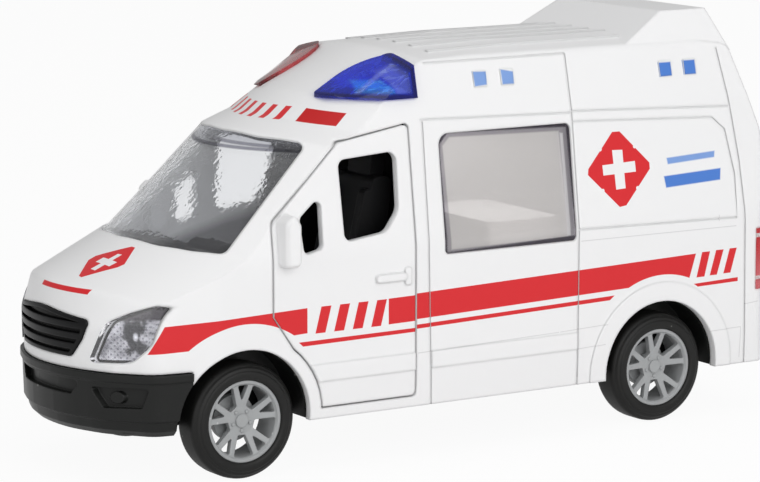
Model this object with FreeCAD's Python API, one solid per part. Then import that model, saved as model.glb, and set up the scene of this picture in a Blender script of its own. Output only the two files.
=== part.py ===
import FreeCAD, Part
import math
import os

# A toy van ambulance, about 1:34 of the real van. Millimetres, +X forward, +Y to its left, +Z up.
# The shell is one white moulding over a black chassis moulding that also forms the front bumper.

V = FreeCAD.Vector

# Wheels and axles
WHEELBASE = 100.0
TYRE_R = 11.5
TYRE_WIDTH = 7.6
RIM_R = 8.1
RIM_DEPTH = 6.6
RIM_WALL = 0.9
AXLE_R = 1.0
AXLE_CLEARANCE = 0.08
SPOKE_PAIRS = 5
HUB_R = 2.7
CAP_R = 1.35
DRUM_R = 4.6
TYRE_SET_IN = 0.6
WELL_THICKNESS = 0.9
WHEEL_CLEARANCE = 1.2

# Body, along the centre line
FRONT_OVERHANG = 30.8
REAR_OVERHANG = 28.0
SILL_Z = 10.3
BELT_Z = 41.0
BONNET_NOSE_Z = 37.8
ROOF_Z = 81.3
SCREEN_LENGTH_X = 22.4
SCREEN_RISE = 19.3
HUMP_RISE = 4.1

# Body, across
BELT_HALF = 27.1
GUTTER_LEAN = 3.2
ROOF_LEAN = 2.8
PLAN_SWEEP = 0.0165
CROWN = 0.0040
WALL = 1.6

# Openings and the pieces in them
ARCH_R = 14.3
DOOR_ARCH_R = 17.2
DOOR_BOTTOM_Z = 12.7
DOOR_GAP = 0.35
GLASS_THICKNESS = 1.6
GLASS_GAP = 0.12
GLASS_SET_IN = 0.3
GROOVE_DEPTH = 0.3
GROOVE_WIDTH = 0.35
PROUD = 0.3
LAMP_PROUD = 0.8
LENS_THICKNESS = 1.0
REFLECTOR_DEPTH = 3.0
LINER_GAP = 0.6
GRILLE_HALF = 14.2
GRILLE_HEIGHT = 9.2
GRILLE_RIM = 0.8
GRILLE_BAR = 1.2
GRILLE_BARS = 3

# Chassis and bumper
PAN_Z = 10.5
PAN_THICKNESS = 1.6
FIT = 0.2
BUMPER_BOTTOM_Z = 10.0
BUMPER_HEIGHT = 12.6
BUMPER_LIP = 0.7
SLOT_DEPTH = 1.1
FOG_R = 1.15
POST_R = 2.6
SCREW_R = 1.1
AXLE_BLOCK = 3.0

# Cab
CAB_FLOOR_Z = 27.4
CAB_FLOOR_THICKNESS = 1.2
SEAT_WIDTH = 14.0
STEERING_R = 4.0
COLUMN_LENGTH = 4.95
BOX_HALF = 14.0
MOTOR_HALF = 8.0
MOTOR_HEIGHT = 13.0

# Derived places
AXLE_Z = TYRE_R
FRONT_AXLE_X = WHEELBASE / 2
REAR_AXLE_X = -WHEELBASE / 2
FRONT_X = FRONT_AXLE_X + FRONT_OVERHANG
REAR_X = REAR_AXLE_X - REAR_OVERHANG
ORIGIN_X = (FRONT_X + PROUD + REAR_X) / 2
SCREEN_FOOT_X = FRONT_X - 18.9
SCREEN_FOOT_Z = BONNET_NOSE_Z + 8.7
SCREEN_HEAD_X = SCREEN_FOOT_X - SCREEN_LENGTH_X
SCREEN_HEAD_Z = SCREEN_FOOT_Z + SCREEN_RISE
ROOF_EDGE_Z = ROOF_Z - 2.3
GUTTER_Z = ROOF_Z - 14.3
ROOF_START_X = SCREEN_HEAD_X - 31.5
GUTTER_HALF = BELT_HALF - GUTTER_LEAN
ROOF_EDGE_HALF = GUTTER_HALF - ROOF_LEAN
HUMP_FRONT_X = REAR_AXLE_X + 6.5
HUMP_REAR_X = REAR_X + 7.4
HUMP_HALF = ROOF_EDGE_HALF - 0.6
WHEEL_FACE_Y = BELT_HALF - 0.6
WHEEL_BACK_Y = WHEEL_FACE_Y - TYRE_WIDTH
WELL_Y = WHEEL_BACK_Y - WHEEL_CLEARANCE
DOOR_FRONT_X = FRONT_AXLE_X - 6.1
DOOR_REAR_X = FRONT_AXLE_X - 38.7
DOOR_INNER_Y = GUTTER_HALF - WALL - 0.1
GROOVE_FRONT_X = DOOR_REAR_X - 3.6
GROOVE_REAR_X = REAR_AXLE_X + 21.3
WINDOW_FRONT_X = GROOVE_FRONT_X - 3.5
WINDOW_REAR_X = GROOVE_REAR_X + 0.6
WINDOW_BOTTOM_Z = BELT_Z - 0.6
WINDOW_TOP_Z = GUTTER_Z - 2.6
RUB_BOTTOM_Z = SILL_Z + 7.5
RUB_TOP_Z = RUB_BOTTOM_Z + 3.5
BUMPER_TOP_Z = BUMPER_BOTTOM_Z + BUMPER_HEIGHT
BUMPER_REAR_X = FRONT_AXLE_X + 11.5
GRILLE_BOTTOM_Z = BUMPER_TOP_Z + 2.2
PAN_TOP_Z = PAN_Z + PAN_THICKNESS
CAB_WALL_X = DOOR_REAR_X - 2.5
BIG = 200.0


def box(x0, x1, y0, y1, z0, z1):
    return Part.makeBox(x1 - x0, y1 - y0, z1 - z0, V(x0, y0, z0))


def mirror_y(shape):
    return shape.mirror(V(0, 0, 0), V(0, 1, 0))


def both_sides(shape):
    return [shape, mirror_y(shape)]


def corner_arc(before, corner, after, radius):
    """The tangent points and middle point that round one corner of an outline."""
    a = (before - corner).normalize()
    b = (after - corner).normalize()
    half = a.getAngle(b) / 2
    reach = radius / math.tan(half)
    bisector = (a + b).normalize()
    centre = corner + bisector * (radius / math.sin(half))
    middle = centre - bisector * radius
    return corner + a * reach, middle, corner + b * reach


def rounded_wire(corners):
    """A closed wire through corners (point, radius), each corner rounded by its own arc."""
    count = len(corners)
    arcs = []
    for i, (point, radius) in enumerate(corners):
        before = corners[i - 1][0]
        after = corners[(i + 1) % count][0]
        arcs.append(corner_arc(before, point, after, radius) if radius else (point, None, point))
    edges = []
    for i in range(count):
        start, middle, end = arcs[i]
        if middle is not None:
            edges.append(Part.Arc(start, middle, end).toShape())
        edges.append(Part.makeLine(end, arcs[(i + 1) % count][0]))
    return Part.Wire(edges)


def inset_outline(corners, inset):
    """Move every side of a counter-clockwise outline of (a, b, radius) inwards by inset."""
    if not inset:
        return corners
    count = len(corners)
    moved = []
    for i in range(count):
        a0, b0 = corners[i - 1][:2]
        a1, b1, radius = corners[i]
        a2, b2 = corners[(i + 1) % count][:2]
        d1 = V(a1 - a0, b1 - b0, 0).normalize()
        d2 = V(a2 - a1, b2 - b1, 0).normalize()
        n1 = V(-d1.y, d1.x, 0)
        n2 = V(-d2.y, d2.x, 0)
        shift = (n1 + n2) * (inset / (1 + n1.dot(n2)))
        convex = d1.x * d2.y - d1.y * d2.x > 0
        new_radius = max(radius - inset, 0.3) if convex else radius + inset
        moved.append((a1 + shift.x, b1 + shift.y, new_radius if radius else 0))
    return moved


def prism_y(outline, y0, y1):
    """An outline of (x, z, radius) drawn out along Y."""
    wire = rounded_wire([(V(x, y0, z), r) for x, z, r in outline])
    return Part.Face(wire).extrude(V(0, y1 - y0, 0))


def prism_x(outline, x0, x1):
    """An outline of (y, z, radius) drawn out along X."""
    wire = rounded_wire([(V(x0, y, z), r) for y, z, r in outline])
    return Part.Face(wire).extrude(V(x1 - x0, 0, 0))


def prism_z(outline, z0, z1):
    """An outline of (x, y, radius) drawn out along Z."""
    wire = rounded_wire([(V(x, y, z0), r) for x, y, r in outline])
    return Part.Face(wire).extrude(V(0, 0, z1 - z0))


def ribbon(path, width):
    """The outline of a narrow strip along an open path of (a, b) points."""
    near = []
    far = []
    last = len(path) - 1
    for i, (a, b) in enumerate(path):
        a0, b0 = path[max(i - 1, 0)]
        a1, b1 = path[min(i + 1, last)]
        along = V(a1 - a0, b1 - b0, 0).normalize()
        near.append((a - along.y * width / 2, b + along.x * width / 2, 0))
        far.append((a + along.y * width / 2, b - along.x * width / 2, 0))
    return far + near[::-1]


def cylinder_y(radius, x, y0, y1, z):
    return Part.makeCylinder(radius, y1 - y0, V(x, y0, z), V(0, 1, 0))


def cylinder_z(radius, x, y, z0, z1):
    return Part.makeCylinder(radius, z1 - z0, V(x, y, z0))


# Main form of the body: side outline swept across, cross-section drawn along, plan drawn up

def side_outline(y, inset):
    """The body seen from its left at distance y from the centre line, counter-clockwise in X and Z."""
    back = PLAN_SWEEP * y * y
    drop = CROWN * y * y
    points = [
        (REAR_X, SILL_Z - 5, 0),
        (FRONT_X - 0.6 - back, SILL_Z - 5, 0),
        (FRONT_X - back, BONNET_NOSE_Z - 6.0 - drop, 4.0),
        (FRONT_X - 2.0 - back, BONNET_NOSE_Z + 0.6 - drop, 2.0),
        (FRONT_X - 9.5 - back, BONNET_NOSE_Z + 4.2 - drop, 12.0),
        (SCREEN_FOOT_X - back, SCREEN_FOOT_Z - drop, 1.0),
        (SCREEN_HEAD_X - back, SCREEN_HEAD_Z - drop, 2.0),
        (SCREEN_HEAD_X - 6.6 - back, SCREEN_HEAD_Z + 2.4 - drop, 2.5),
        (SCREEN_HEAD_X - 13.4 - back, SCREEN_HEAD_Z + 6.6 - drop, 3.0),
        (ROOF_START_X, ROOF_Z - 0.8 - drop, 8.0),
        (ROOF_START_X - 30.0, ROOF_Z - drop, 20.0),
        (REAR_X + 20.0, ROOF_Z - drop, 12.0),
        (REAR_X + 7.4, ROOF_Z - 1.6 - drop, 2.5),
        (REAR_X + 0.9, ROOF_Z - 21.8, 8.0),
    ]
    return inset_outline(points, inset)


def cross_outline(inset):
    """The body seen from the front: straight flanks, glass leaning in, a steeper roof side."""
    crown_y = ROOF_EDGE_HALF * 0.57
    right = [
        (BELT_HALF - 0.4, SILL_Z - 5, 0),
        (BELT_HALF, SILL_Z + 6, 6.0),
        (BELT_HALF, BELT_Z + 2, 12.0),
        (GUTTER_HALF, GUTTER_Z, 3.0),
        (ROOF_EDGE_HALF, ROOF_EDGE_Z, 2.4),
        (crown_y, ROOF_Z - CROWN * crown_y ** 2 + 0.1, 10.0),
    ]
    left = [(-y, z, r) for y, z, r in reversed(right)]
    return inset_outline(right + left, inset)


def plan_outline(inset):
    """The body seen from above: rounded rear corners and a nose that turns in at the headlamps."""
    half = [
        (REAR_X, 0, 0),
        (REAR_X, -BELT_HALF, 3.2),
        (FRONT_X - 24.8, -BELT_HALF, 14.0),
        (FRONT_X - 11.3, 2.1 - BELT_HALF, 7.0),
        (FRONT_X - 3.6, 11.1 - BELT_HALF, 9.0),
        (FRONT_X + 3, -4.0, 0),
    ]
    left = [(x, -y, r) for x, y, r in reversed(half[1:])]
    return inset_outline(half + left, inset)


FORMS = {}


def body_form(inset):
    """The whole outer form of the body, or the same form inset evenly on every side; each is made once."""
    if inset not in FORMS:
        FORMS[inset] = make_body_form(inset)
    return FORMS[inset]


def make_body_form(inset):
    sections = []
    for y in (-BELT_HALF - 2, 0.0, BELT_HALF + 2):
        sections.append(rounded_wire([(V(x, y, z), r) for x, z, r in side_outline(y, inset)]))
    form = Part.makeLoft(sections, True, False)
    form = form.common(prism_x(cross_outline(inset), REAR_X - 5, FRONT_X + 5))
    return form.common(prism_z(plan_outline(inset), SILL_Z - 6, ROOF_Z + 10))


def skin(prism, outer_inset, inner_inset):
    """What a prism takes out of the layer of the body between two insets."""
    return prism.common(body_form(outer_inset)).cut(body_form(inner_inset))


def raised(prism):
    """A low raised panel on the body: what a prism takes from just proud of it to half its wall."""
    return skin(prism, -PROUD, LENS_THICKNESS)


# Outlines of the openings, each also given smaller or larger by an inset

def door_outline(inset):
    """Front door in X and Z: upright at its hinge, slanted under the pillar, curved round the arch."""
    start = math.radians(172.0)
    stop = math.radians(128.0)
    radius = DOOR_ARCH_R + inset
    steps = 6
    rear = DOOR_REAR_X + inset
    front = DOOR_FRONT_X - inset
    bottom = DOOR_BOTTOM_Z + inset
    foot_x = FRONT_AXLE_X - math.sqrt(radius ** 2 - (bottom - AXLE_Z) ** 2)
    outline = [(foot_x, bottom, 0)]
    for i in range(steps + 1):
        angle = start + (stop - start) * i / steps
        z = AXLE_Z + radius * math.sin(angle)
        if z > bottom + 0.5:
            outline.append((FRONT_AXLE_X + radius * math.cos(angle), z, 0))
    upper = [
        (front, AXLE_Z + DOOR_ARCH_R + 2.8 - inset * 0.4, 0),
        (front, BELT_Z + 8.6 - inset * 0.4, 3.0),
        (front - 16.3 + inset * 0.3, GUTTER_Z - 2.8 - inset, 2.0),
        (rear, GUTTER_Z - 0.2 - inset, 1.0),
        (rear, bottom, 1.0),
    ]
    return outline + upper


def door_window_outline(inset):
    """Window opening of the front door, with its rear lower corner cut off."""
    x = DOOR_REAR_X
    points = [
        (x + 3.0, GUTTER_Z - 5.2, 2.0),
        (x + 3.3, BELT_Z + 9.0, 4.0),
        (x + 6.5, BELT_Z + 5.0, 3.0),
        (x + 16.3, BELT_Z + 3.8, 1.6),
        (x + 16.7, GUTTER_Z - 6.1, 1.6),
    ]
    return inset_outline(points, inset)


def quarter_window_outline(inset):
    """Small window opening ahead of it, next to the mirror."""
    x = DOOR_FRONT_X
    points = [
        (x - 11.5, BELT_Z + 13.6, 1.2),
        (x - 11.3, BELT_Z + 3.0, 1.2),
        (x - 6.9, BELT_Z + 2.0, 1.2),
        (x - 6.3, BELT_Z + 9.4, 1.5),
    ]
    return inset_outline(points, inset)


def side_window_outline(inset):
    points = [
        (WINDOW_REAR_X, WINDOW_BOTTOM_Z, 1.0),
        (WINDOW_FRONT_X, WINDOW_BOTTOM_Z, 1.0),
        (WINDOW_FRONT_X, WINDOW_TOP_Z, 2.4),
        (WINDOW_REAR_X, WINDOW_TOP_Z, 1.4),
    ]
    return inset_outline(points, inset)


def rear_window_outline(inset):
    """One rear door window in Y and Z."""
    outer = GUTTER_HALF - 3.6
    points = [
        (3.0, BELT_Z + 1.0, 1.5),
        (outer, BELT_Z + 1.0, 1.5),
        (outer - 1.1, GUTTER_Z - 7.0, 1.5),
        (3.0, GUTTER_Z - 7.0, 1.5),
    ]
    return inset_outline(points, inset)


def headlamp_outline(inset):
    """Headlamp seen from the front, in Y and Z: a slanted leaf that rises to a tip on the wing."""
    tip_y = BELT_HALF - 1.4
    tip_z = BONNET_NOSE_Z - 1.4
    points = [
        (tip_y - 11.9, tip_z - 12.2, 0.8),
        (tip_y - 4.1, tip_z - 11.8, 3.0),
        (tip_y - 1.3, tip_z - 8.4, 4.0),
        (tip_y, tip_z, 0.7),
        (tip_y - 4.7, tip_z - 2.0, 4.0),
        (tip_y - 8.2, tip_z - 4.0, 2.0),
    ]
    return inset_outline(points, inset)


def grille_outline(inset):
    """Grille seen from the front: a shallow curved top and sides that draw in towards the bumper."""
    half = GRILLE_HALF
    low = GRILLE_BOTTOM_Z
    high = GRILLE_BOTTOM_Z + GRILLE_HEIGHT
    points = [
        (4.4 - half, low, 1.5),
        (half - 4.4, low, 1.5),
        (half - 1.7, low + 3.6, 4.0),
        (half, high - 1.7, 1.0),
        (0, high, 30.0),
        (-half, high - 1.7, 1.0),
        (1.7 - half, low + 3.6, 4.0),
    ]
    return inset_outline(points, inset)


def screen_outline(inset):
    """Windscreen opening in the plane of the glass: across, and along the glass from the bonnet's knee."""
    foot_half = GUTTER_HALF - 0.5
    head_half = ROOF_EDGE_HALF - 0.5
    length = math.hypot(SCREEN_LENGTH_X, SCREEN_RISE)
    right = [
        (foot_half * 0.49, -0.5, 12.0),
        (foot_half * 0.79, 2.3, 8.0),
        (foot_half, 5.4, 2.0),
        (head_half, length + 4.2, 1.6),
        (head_half * 0.52, length + 0.3, 16.0),
    ]
    left = [(-y, t, r) for y, t, r in reversed(right)]
    return inset_outline([(0, -1.8, 14.0)] + right + [(0, length - 0.9, 16.0)] + left, inset)


def screen_prism(inset):
    """The windscreen opening drawn through the wall at a right angle to the glass."""
    rise = V(-SCREEN_LENGTH_X, 0, SCREEN_RISE).normalize()
    normal = V(rise.z, 0, -rise.x)
    origin = V(SCREEN_FOOT_X, 0, SCREEN_FOOT_Z)
    corners = []
    for y, along, radius in screen_outline(inset):
        corners.append((origin + rise * along + V(0, y, 0), radius))
    face = Part.Face(rounded_wire(corners))
    face.translate(normal * -12.0)
    return face.extrude(normal * 18.0)


# Body shell and what is let into it or raised on it

def make_body_shell():
    shell = body_form(0).cut(body_form(WALL))
    arches = [cylinder_y(ARCH_R, x, -BIG, BIG, AXLE_Z) for x in (FRONT_AXLE_X, REAR_AXLE_X)]
    below = box(-BIG, BIG, -BIG, BIG, 0, SILL_Z)
    bumper_zone = box(BUMPER_REAR_X, BIG, -BIG, BIG, 0, BUMPER_TOP_Z)
    cutters = both_sides(prism_y(door_outline(-DOOR_GAP), DOOR_INNER_Y - FIT, BIG))
    cutters += both_sides(prism_y(side_window_outline(0), GUTTER_HALF / 2, BIG))
    cutters += both_sides(prism_x(headlamp_outline(0), FRONT_X - 17, FRONT_X + 10))
    cutters += both_sides(prism_x(rear_window_outline(0), REAR_X - 5, REAR_X + 12))
    cutters.append(prism_x(grille_outline(0), FRONT_X - 11, FRONT_X + 10))
    shell = shell.cut([below, bumper_zone, screen_prism(0)] + arches + cutters)
    shell = shell.fuse([make_hump()] + make_side_trim() + make_rear_trim() + make_roof_ribs())
    return shell.cut(make_grooves())


def make_hump():
    """The raised box at the rear of the roof, with a ramp in front and leaning sides."""
    foot = frustum_ring(HUMP_FRONT_X + 3.1, HUMP_REAR_X - 0.9, HUMP_HALF + 0.7, ROOF_EDGE_Z - 2.4)
    head_z = ROOF_Z + HUMP_RISE
    head = frustum_ring(HUMP_FRONT_X - 12.0, HUMP_REAR_X + 3.4, HUMP_HALF - 2.6, head_z)
    hump = Part.makeLoft([foot, head], True, True)
    return hump.cut(body_form(WALL))


def frustum_ring(front, rear, half, z):
    corners = [V(front, half, z), V(rear, half, z), V(rear, -half, z), V(front, -half, z)]
    return Part.makePolygon(corners + corners[:1])


def make_side_trim():
    """Raised on each flank: a rub strip, a flare round the rear arch, and two pairs of small squares."""
    strip = box(GROOVE_REAR_X, GROOVE_FRONT_X, 0, BIG, RUB_BOTTOM_Z, RUB_TOP_Z)
    flare = cylinder_y(ARCH_R + 4.0, REAR_AXLE_X, 0, BIG, AXLE_Z)
    flare = flare.cut(cylinder_y(ARCH_R, REAR_AXLE_X, 0, BIG, AXLE_Z))
    flare = flare.common(box(-BIG, BIG, 0, BIG, SILL_Z, BIG))
    pieces = [strip, flare]
    side = 3.1
    for x, z in ((GROOVE_FRONT_X - 16.4, 2.9), (GROOVE_FRONT_X - 23.0, 2.9),
                 (REAR_AXLE_X - 5.1, 3.6), (REAR_AXLE_X - 11.5, 3.6)):
        top = ROOF_EDGE_Z - z
        pieces.append(box(x, x + side, 0, BIG, top - side, top))
    return both_sides(raised(Part.makeCompound(pieces)))


def make_roof_ribs():
    """Low ribs along the roof between the lamps and the hump."""
    ribs = []
    pitch = ROOF_EDGE_HALF / 7
    for i in (1, 3, 5):
        y = pitch * i
        ribs += both_sides(box(HUMP_FRONT_X - 4.0, ROOF_START_X - 7.0, y - 0.5, y + 0.5, ROOF_EDGE_Z - 5, BIG))
    return [raised(Part.makeCompound(ribs))]


def make_rear_trim():
    """Raised on the rear: three hinges on each moulded door, a handle, and a step over the sill."""
    pieces = []
    reach = (REAR_X - 5, REAR_X + 6)
    hinge_y = GUTTER_HALF - 1.2
    for z in (BELT_Z - 19, BELT_Z - 1, BELT_Z + 19):
        pieces += both_sides(box(*reach, hinge_y - 3.0, hinge_y, z - 0.8, z + 0.8))
    pieces.append(box(*reach, -5.5, 5.5, BELT_Z - 8.6, BELT_Z - 6.6))
    pieces.append(box(*reach, -GUTTER_HALF, GUTTER_HALF, SILL_Z, SILL_Z + 4.5))
    return [raised(Part.makeCompound(pieces))]


def make_grooves():
    """Thin moulded lines: sliding door, gutter, rear quarter panel, rear corner and rear doors."""
    low = SILL_Z - 1
    roof = ROOF_EDGE_Z - 0.7
    rear = REAR_X
    paths = [
        [(GROOVE_FRONT_X - 0.3, low), (GROOVE_FRONT_X + 0.4, BELT_Z), (GROOVE_FRONT_X, GUTTER_Z)],
        [(GROOVE_REAR_X + 0.2, low), (GROOVE_REAR_X, roof)],
        [(GROOVE_FRONT_X + 0.4, GUTTER_Z + 0.4), (GROOVE_REAR_X, GUTTER_Z - 0.6)],
        [(GROOVE_REAR_X, GUTTER_Z - 0.3), (rear + 8.6, GUTTER_Z - 1.9)],
        [(GROOVE_FRONT_X - 2.0, roof), (GROOVE_REAR_X, roof)],
        [(GROOVE_REAR_X, GUTTER_Z - 2.4), (rear + 13.6, GUTTER_Z - 3.9), (rear + 10.4, GUTTER_Z - 6.6),
         (rear + 8.5, BELT_Z + 9.8), (rear + 8.5, BELT_Z + 0.8), (GROOVE_REAR_X, BELT_Z + 1.6)],
        [(rear + 10.5, ROOF_EDGE_Z - 1.7), (rear + 8.5, GUTTER_Z - 2.8), (rear + 7.1, BELT_Z + 12.7),
         (rear + 6.3, BELT_Z), (rear + 5.9, low)],
    ]
    grooves = []
    for path in paths:
        grooves += both_sides(prism_y(ribbon(path, GROOVE_WIDTH), GUTTER_HALF / 2, BIG))
    half = GUTTER_HALF - 2.6
    for y in (-half, 0.0, half):
        grooves.append(box(REAR_X - 5, REAR_X + 9, y - GROOVE_WIDTH / 2, y + GROOVE_WIDTH / 2,
                           SILL_Z + 4.5, GUTTER_Z + 4))
    grooves.append(box(REAR_X - 5, REAR_X + 9, -half, half, GUTTER_Z + 4, GUTTER_Z + 4 + GROOVE_WIDTH))
    return grooves[0].fuse(grooves[1:]).cut(body_form(GROOVE_DEPTH))


def make_windscreen():
    return skin(screen_prism(GLASS_GAP), GLASS_SET_IN, GLASS_SET_IN + GLASS_THICKNESS)


def make_side_window():
    prism = prism_y(side_window_outline(GLASS_GAP), GUTTER_HALF / 2, BIG)
    return skin(prism, GLASS_SET_IN, GLASS_SET_IN + GLASS_THICKNESS)


def make_rear_window():
    prism = prism_x(rear_window_outline(GLASS_GAP), REAR_X - 5, REAR_X + 12)
    return skin(prism, GLASS_SET_IN, GLASS_SET_IN + GLASS_THICKNESS)


def make_headlamp_lens():
    return skin(prism_x(headlamp_outline(GLASS_GAP), FRONT_X - 17, FRONT_X + 10), -PROUD, LENS_THICKNESS)


def make_headlamp_reflector():
    return skin(prism_x(headlamp_outline(0.5), FRONT_X - 17, FRONT_X + 10), WALL, REFLECTOR_DEPTH)


def make_grille():
    """Grille with a proud rim and three proud bars over a recessed back."""
    reach = (FRONT_X - 11, FRONT_X + 10)
    outer = prism_x(grille_outline(GLASS_GAP), *reach)
    inside = prism_x(grille_outline(GRILLE_RIM), *reach)
    rim = skin(outer.cut(inside), -PROUD, WALL)
    pieces = [skin(outer, LENS_THICKNESS, WALL)]
    pitch = (GRILLE_HEIGHT - GRILLE_RIM) / (GRILLE_BARS + 1)
    fill = prism_x(grille_outline(GRILLE_RIM / 2), *reach)
    for i in range(GRILLE_BARS):
        z = GRILLE_BOTTOM_Z + pitch * (i + 1)
        half = GRILLE_BAR / 2
        bar = [(-BIG, z - half, 0), (BIG, z - half, 0), (BIG, z + half, 0), (-BIG, z + half, 0)]
        pieces.append(skin(fill.common(prism_x(bar, *reach)), -PROUD, WALL))
    return rim.fuse(pieces).removeSplitter()


# Front doors

def make_door():
    """One door panel with its two open windows, rub strip, handle and mirror."""
    panel = skin(prism_y(door_outline(0), DOOR_INNER_Y, BIG), 0, WALL)
    strip = prism_y(door_outline(0), DOOR_INNER_Y, BIG).common(box(-BIG, BIG, 0, BIG, RUB_BOTTOM_Z, RUB_TOP_Z))
    panel = panel.cut(prism_y(door_window_outline(0), GUTTER_HALF / 2, BIG))
    panel = panel.cut(prism_y(quarter_window_outline(0), GUTTER_HALF / 2, BIG))
    return panel.fuse([raised(strip), make_mirror(), make_handle()])


def make_mirror():
    """Mirror housing moulded on the quarter window's front lower corner, drawn in towards its face."""
    x = DOOR_FRONT_X
    z = BELT_Z
    outline = [
        (x - 4.9, z + 0.2, 1.4),
        (x - 1.0, z + 0.2, 1.2),
        (x - 1.0, z + 9.2, 1.5),
        (x - 3.4, z + 11.2, 1.2),
        (x - 4.9, z + 8.6, 1.6),
    ]
    wires = []
    for y, inset in ((BELT_HALF - 2.0, 0.0), (BELT_HALF + 2.4, 0.15), (BELT_HALF + 3.2, 0.7)):
        wires.append(rounded_wire([(V(a, y, b), r) for a, b, r in inset_outline(outline, inset)]))
    return Part.makeLoft(wires, True, True)


def make_handle():
    """Grip bar and lock plate, moulded on the door."""
    x = DOOR_REAR_X
    z = BELT_Z - 4.0
    grip = [(x + 2.3, z - 0.8, 0.6), (x + 9.4, z - 0.8, 0.6), (x + 9.4, z + 0.8, 0.6), (x + 2.3, z + 0.8, 0.6)]
    plate = [(x + 1.0, z - 1.8, 0.5), (x + 2.6, z - 1.8, 0.5), (x + 2.6, z + 1.8, 0.5), (x + 1.0, z + 1.8, 0.5)]
    grip_shape = prism_y(grip, BELT_HALF - 1.0, BELT_HALF + 0.7)
    return grip_shape.fuse(prism_y(plate, BELT_HALF - 1.0, BELT_HALF + 0.4))


# Chassis moulding

def bumper_plan(inset):
    """The nose seen from above at the height of the bumper, back to the front axle."""
    half = [
        (FRONT_AXLE_X, -BELT_HALF, 0),
        (FRONT_X - 24.8, -BELT_HALF, 14.0),
        (FRONT_X - 11.3, 2.1 - BELT_HALF, 7.0),
        (FRONT_X - 4.1, 11.1 - BELT_HALF, 16.0),
        (FRONT_X - 0.9, 19.6 - BELT_HALF, 25.0),
    ]
    left = [(x, -y, r) for x, y, r in reversed(half)]
    return inset_outline(half + [(FRONT_X - 0.1, 0, 40.0)] + left, inset)


def make_bumper():
    """Front bumper: a lip over a leaning face, a step low down, a centre slot and two lamp pockets."""
    low = BUMPER_BOTTOM_Z
    top = BUMPER_TOP_Z
    stations = [
        (low, 2.2),
        (low + 1.2, 0.9),
        (low + 3.0, 0.5),
        (low + 3.3, -0.1),
        (top - 2.0, -0.3),
        (top - 1.6, -BUMPER_LIP),
        (top - FIT, -BUMPER_LIP),
    ]
    wires = []
    for z, inset in stations:
        wires.append(rounded_wire([(V(x, y, z), r) for x, y, r in bumper_plan(inset)]))
    solid = Part.makeLoft(wires, True, True)
    solid = solid.cut(prism_z(bumper_plan(WALL + 0.6), low + WALL, BIG))
    solid = solid.common(box(BUMPER_REAR_X + FIT, BIG, -BIG, BIG, 0, BIG))
    inner = prism_z(bumper_plan(SLOT_DEPTH), 0, BIG)
    slot = [(-9.6, low + 7.5, 0.6), (9.6, low + 7.5, 0.6), (12.0, low + 10.3, 0.6), (-12.0, low + 10.3, 0.6)]
    cutters = [prism_x(slot, FRONT_X - 9, FRONT_X + 5).cut(inner)]
    pocket = [(16.8, low + 5.6, 0.5), (23.2, low + 5.9, 0.5), (24.3, low + 9.9, 0.5), (14.2, low + 9.6, 0.5)]
    cutters += both_sides(prism_x(pocket, FRONT_X - 14, FRONT_X + 5).cut(inner))
    solid = solid.cut(cutters)
    fog = Part.makeCylinder(FOG_R, 14, V(FRONT_X - 12, 18.7, low + 7.7), V(1, 0, 0))
    fog = fog.common(prism_z(bumper_plan(0.3), low, top)).cut(prism_z(bumper_plan(WALL), 0, BIG))
    solid = solid.fuse(both_sides(fog))
    return solid.cut(cylinder_y(ARCH_R + 0.2, FRONT_AXLE_X, -BIG, BIG, AXLE_Z))


def make_chassis():
    """Floor pan, bumper, four wheel wells, axle blocks, screw posts and battery door in one moulding."""
    pan_half = BELT_HALF - WALL - FIT - 0.2
    pan = box(REAR_X + WALL + FIT, FRONT_X - 8, -pan_half, pan_half, PAN_Z, PAN_TOP_Z)
    pan = pan.common(prism_z(plan_outline(WALL + FIT), 0, BIG))
    pieces = [make_bumper()]
    for x in (FRONT_AXLE_X, REAR_AXLE_X):
        well = cylinder_y(ARCH_R + WELL_THICKNESS, x, WELL_Y - WELL_THICKNESS, BELT_HALF - WALL - FIT, AXLE_Z)
        well = well.common(box(-BIG, BIG, -BIG, BIG, PAN_Z, BIG))
        pieces += both_sides(well.common(body_form(WALL + LINER_GAP)))
    pieces += make_pan_details()
    chassis = pan.fuse(pieces)
    cutters = []
    for x in (FRONT_AXLE_X, REAR_AXLE_X):
        cutters += both_sides(cylinder_y(ARCH_R, x, WELL_Y, BIG, AXLE_Z))
        cutters.append(cylinder_y(AXLE_R + 1.0, x, 3.5 - WELL_Y + AXLE_BLOCK, WELL_Y - AXLE_BLOCK - 3.5, AXLE_Z))
    for x, y in post_places():
        cutters.append(cylinder_z(POST_R - 0.8, x, y, PAN_Z - 2, PAN_Z + 1.0))
        cutters.append(cylinder_z(SCREW_R, x, y, PAN_Z - 2, PAN_Z + 5.0))
    chassis = chassis.cut(cutters)
    bearings = []
    for x in (FRONT_AXLE_X, REAR_AXLE_X):
        y = WELL_Y - 3.5 - AXLE_BLOCK
        block = box(x - AXLE_BLOCK, x + AXLE_BLOCK, y, y + AXLE_BLOCK, PAN_Z + 0.2, AXLE_Z + AXLE_R + 1.4)
        bearings += both_sides(block)
    chassis = chassis.fuse(bearings)
    bores = [cylinder_y(AXLE_R + AXLE_CLEARANCE, x, -BIG, BIG, AXLE_Z) for x in (FRONT_AXLE_X, REAR_AXLE_X)]
    return chassis.cut(bores).removeSplitter()


def post_places():
    """The four screw posts, behind each pair of wheels."""
    y = WELL_Y - 5.0
    front = FRONT_AXLE_X - ARCH_R - 6.0
    rear = REAR_AXLE_X - ARCH_R - 5.0
    return [(front, y), (front, -y), (rear, y), (rear, -y)]


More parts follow.
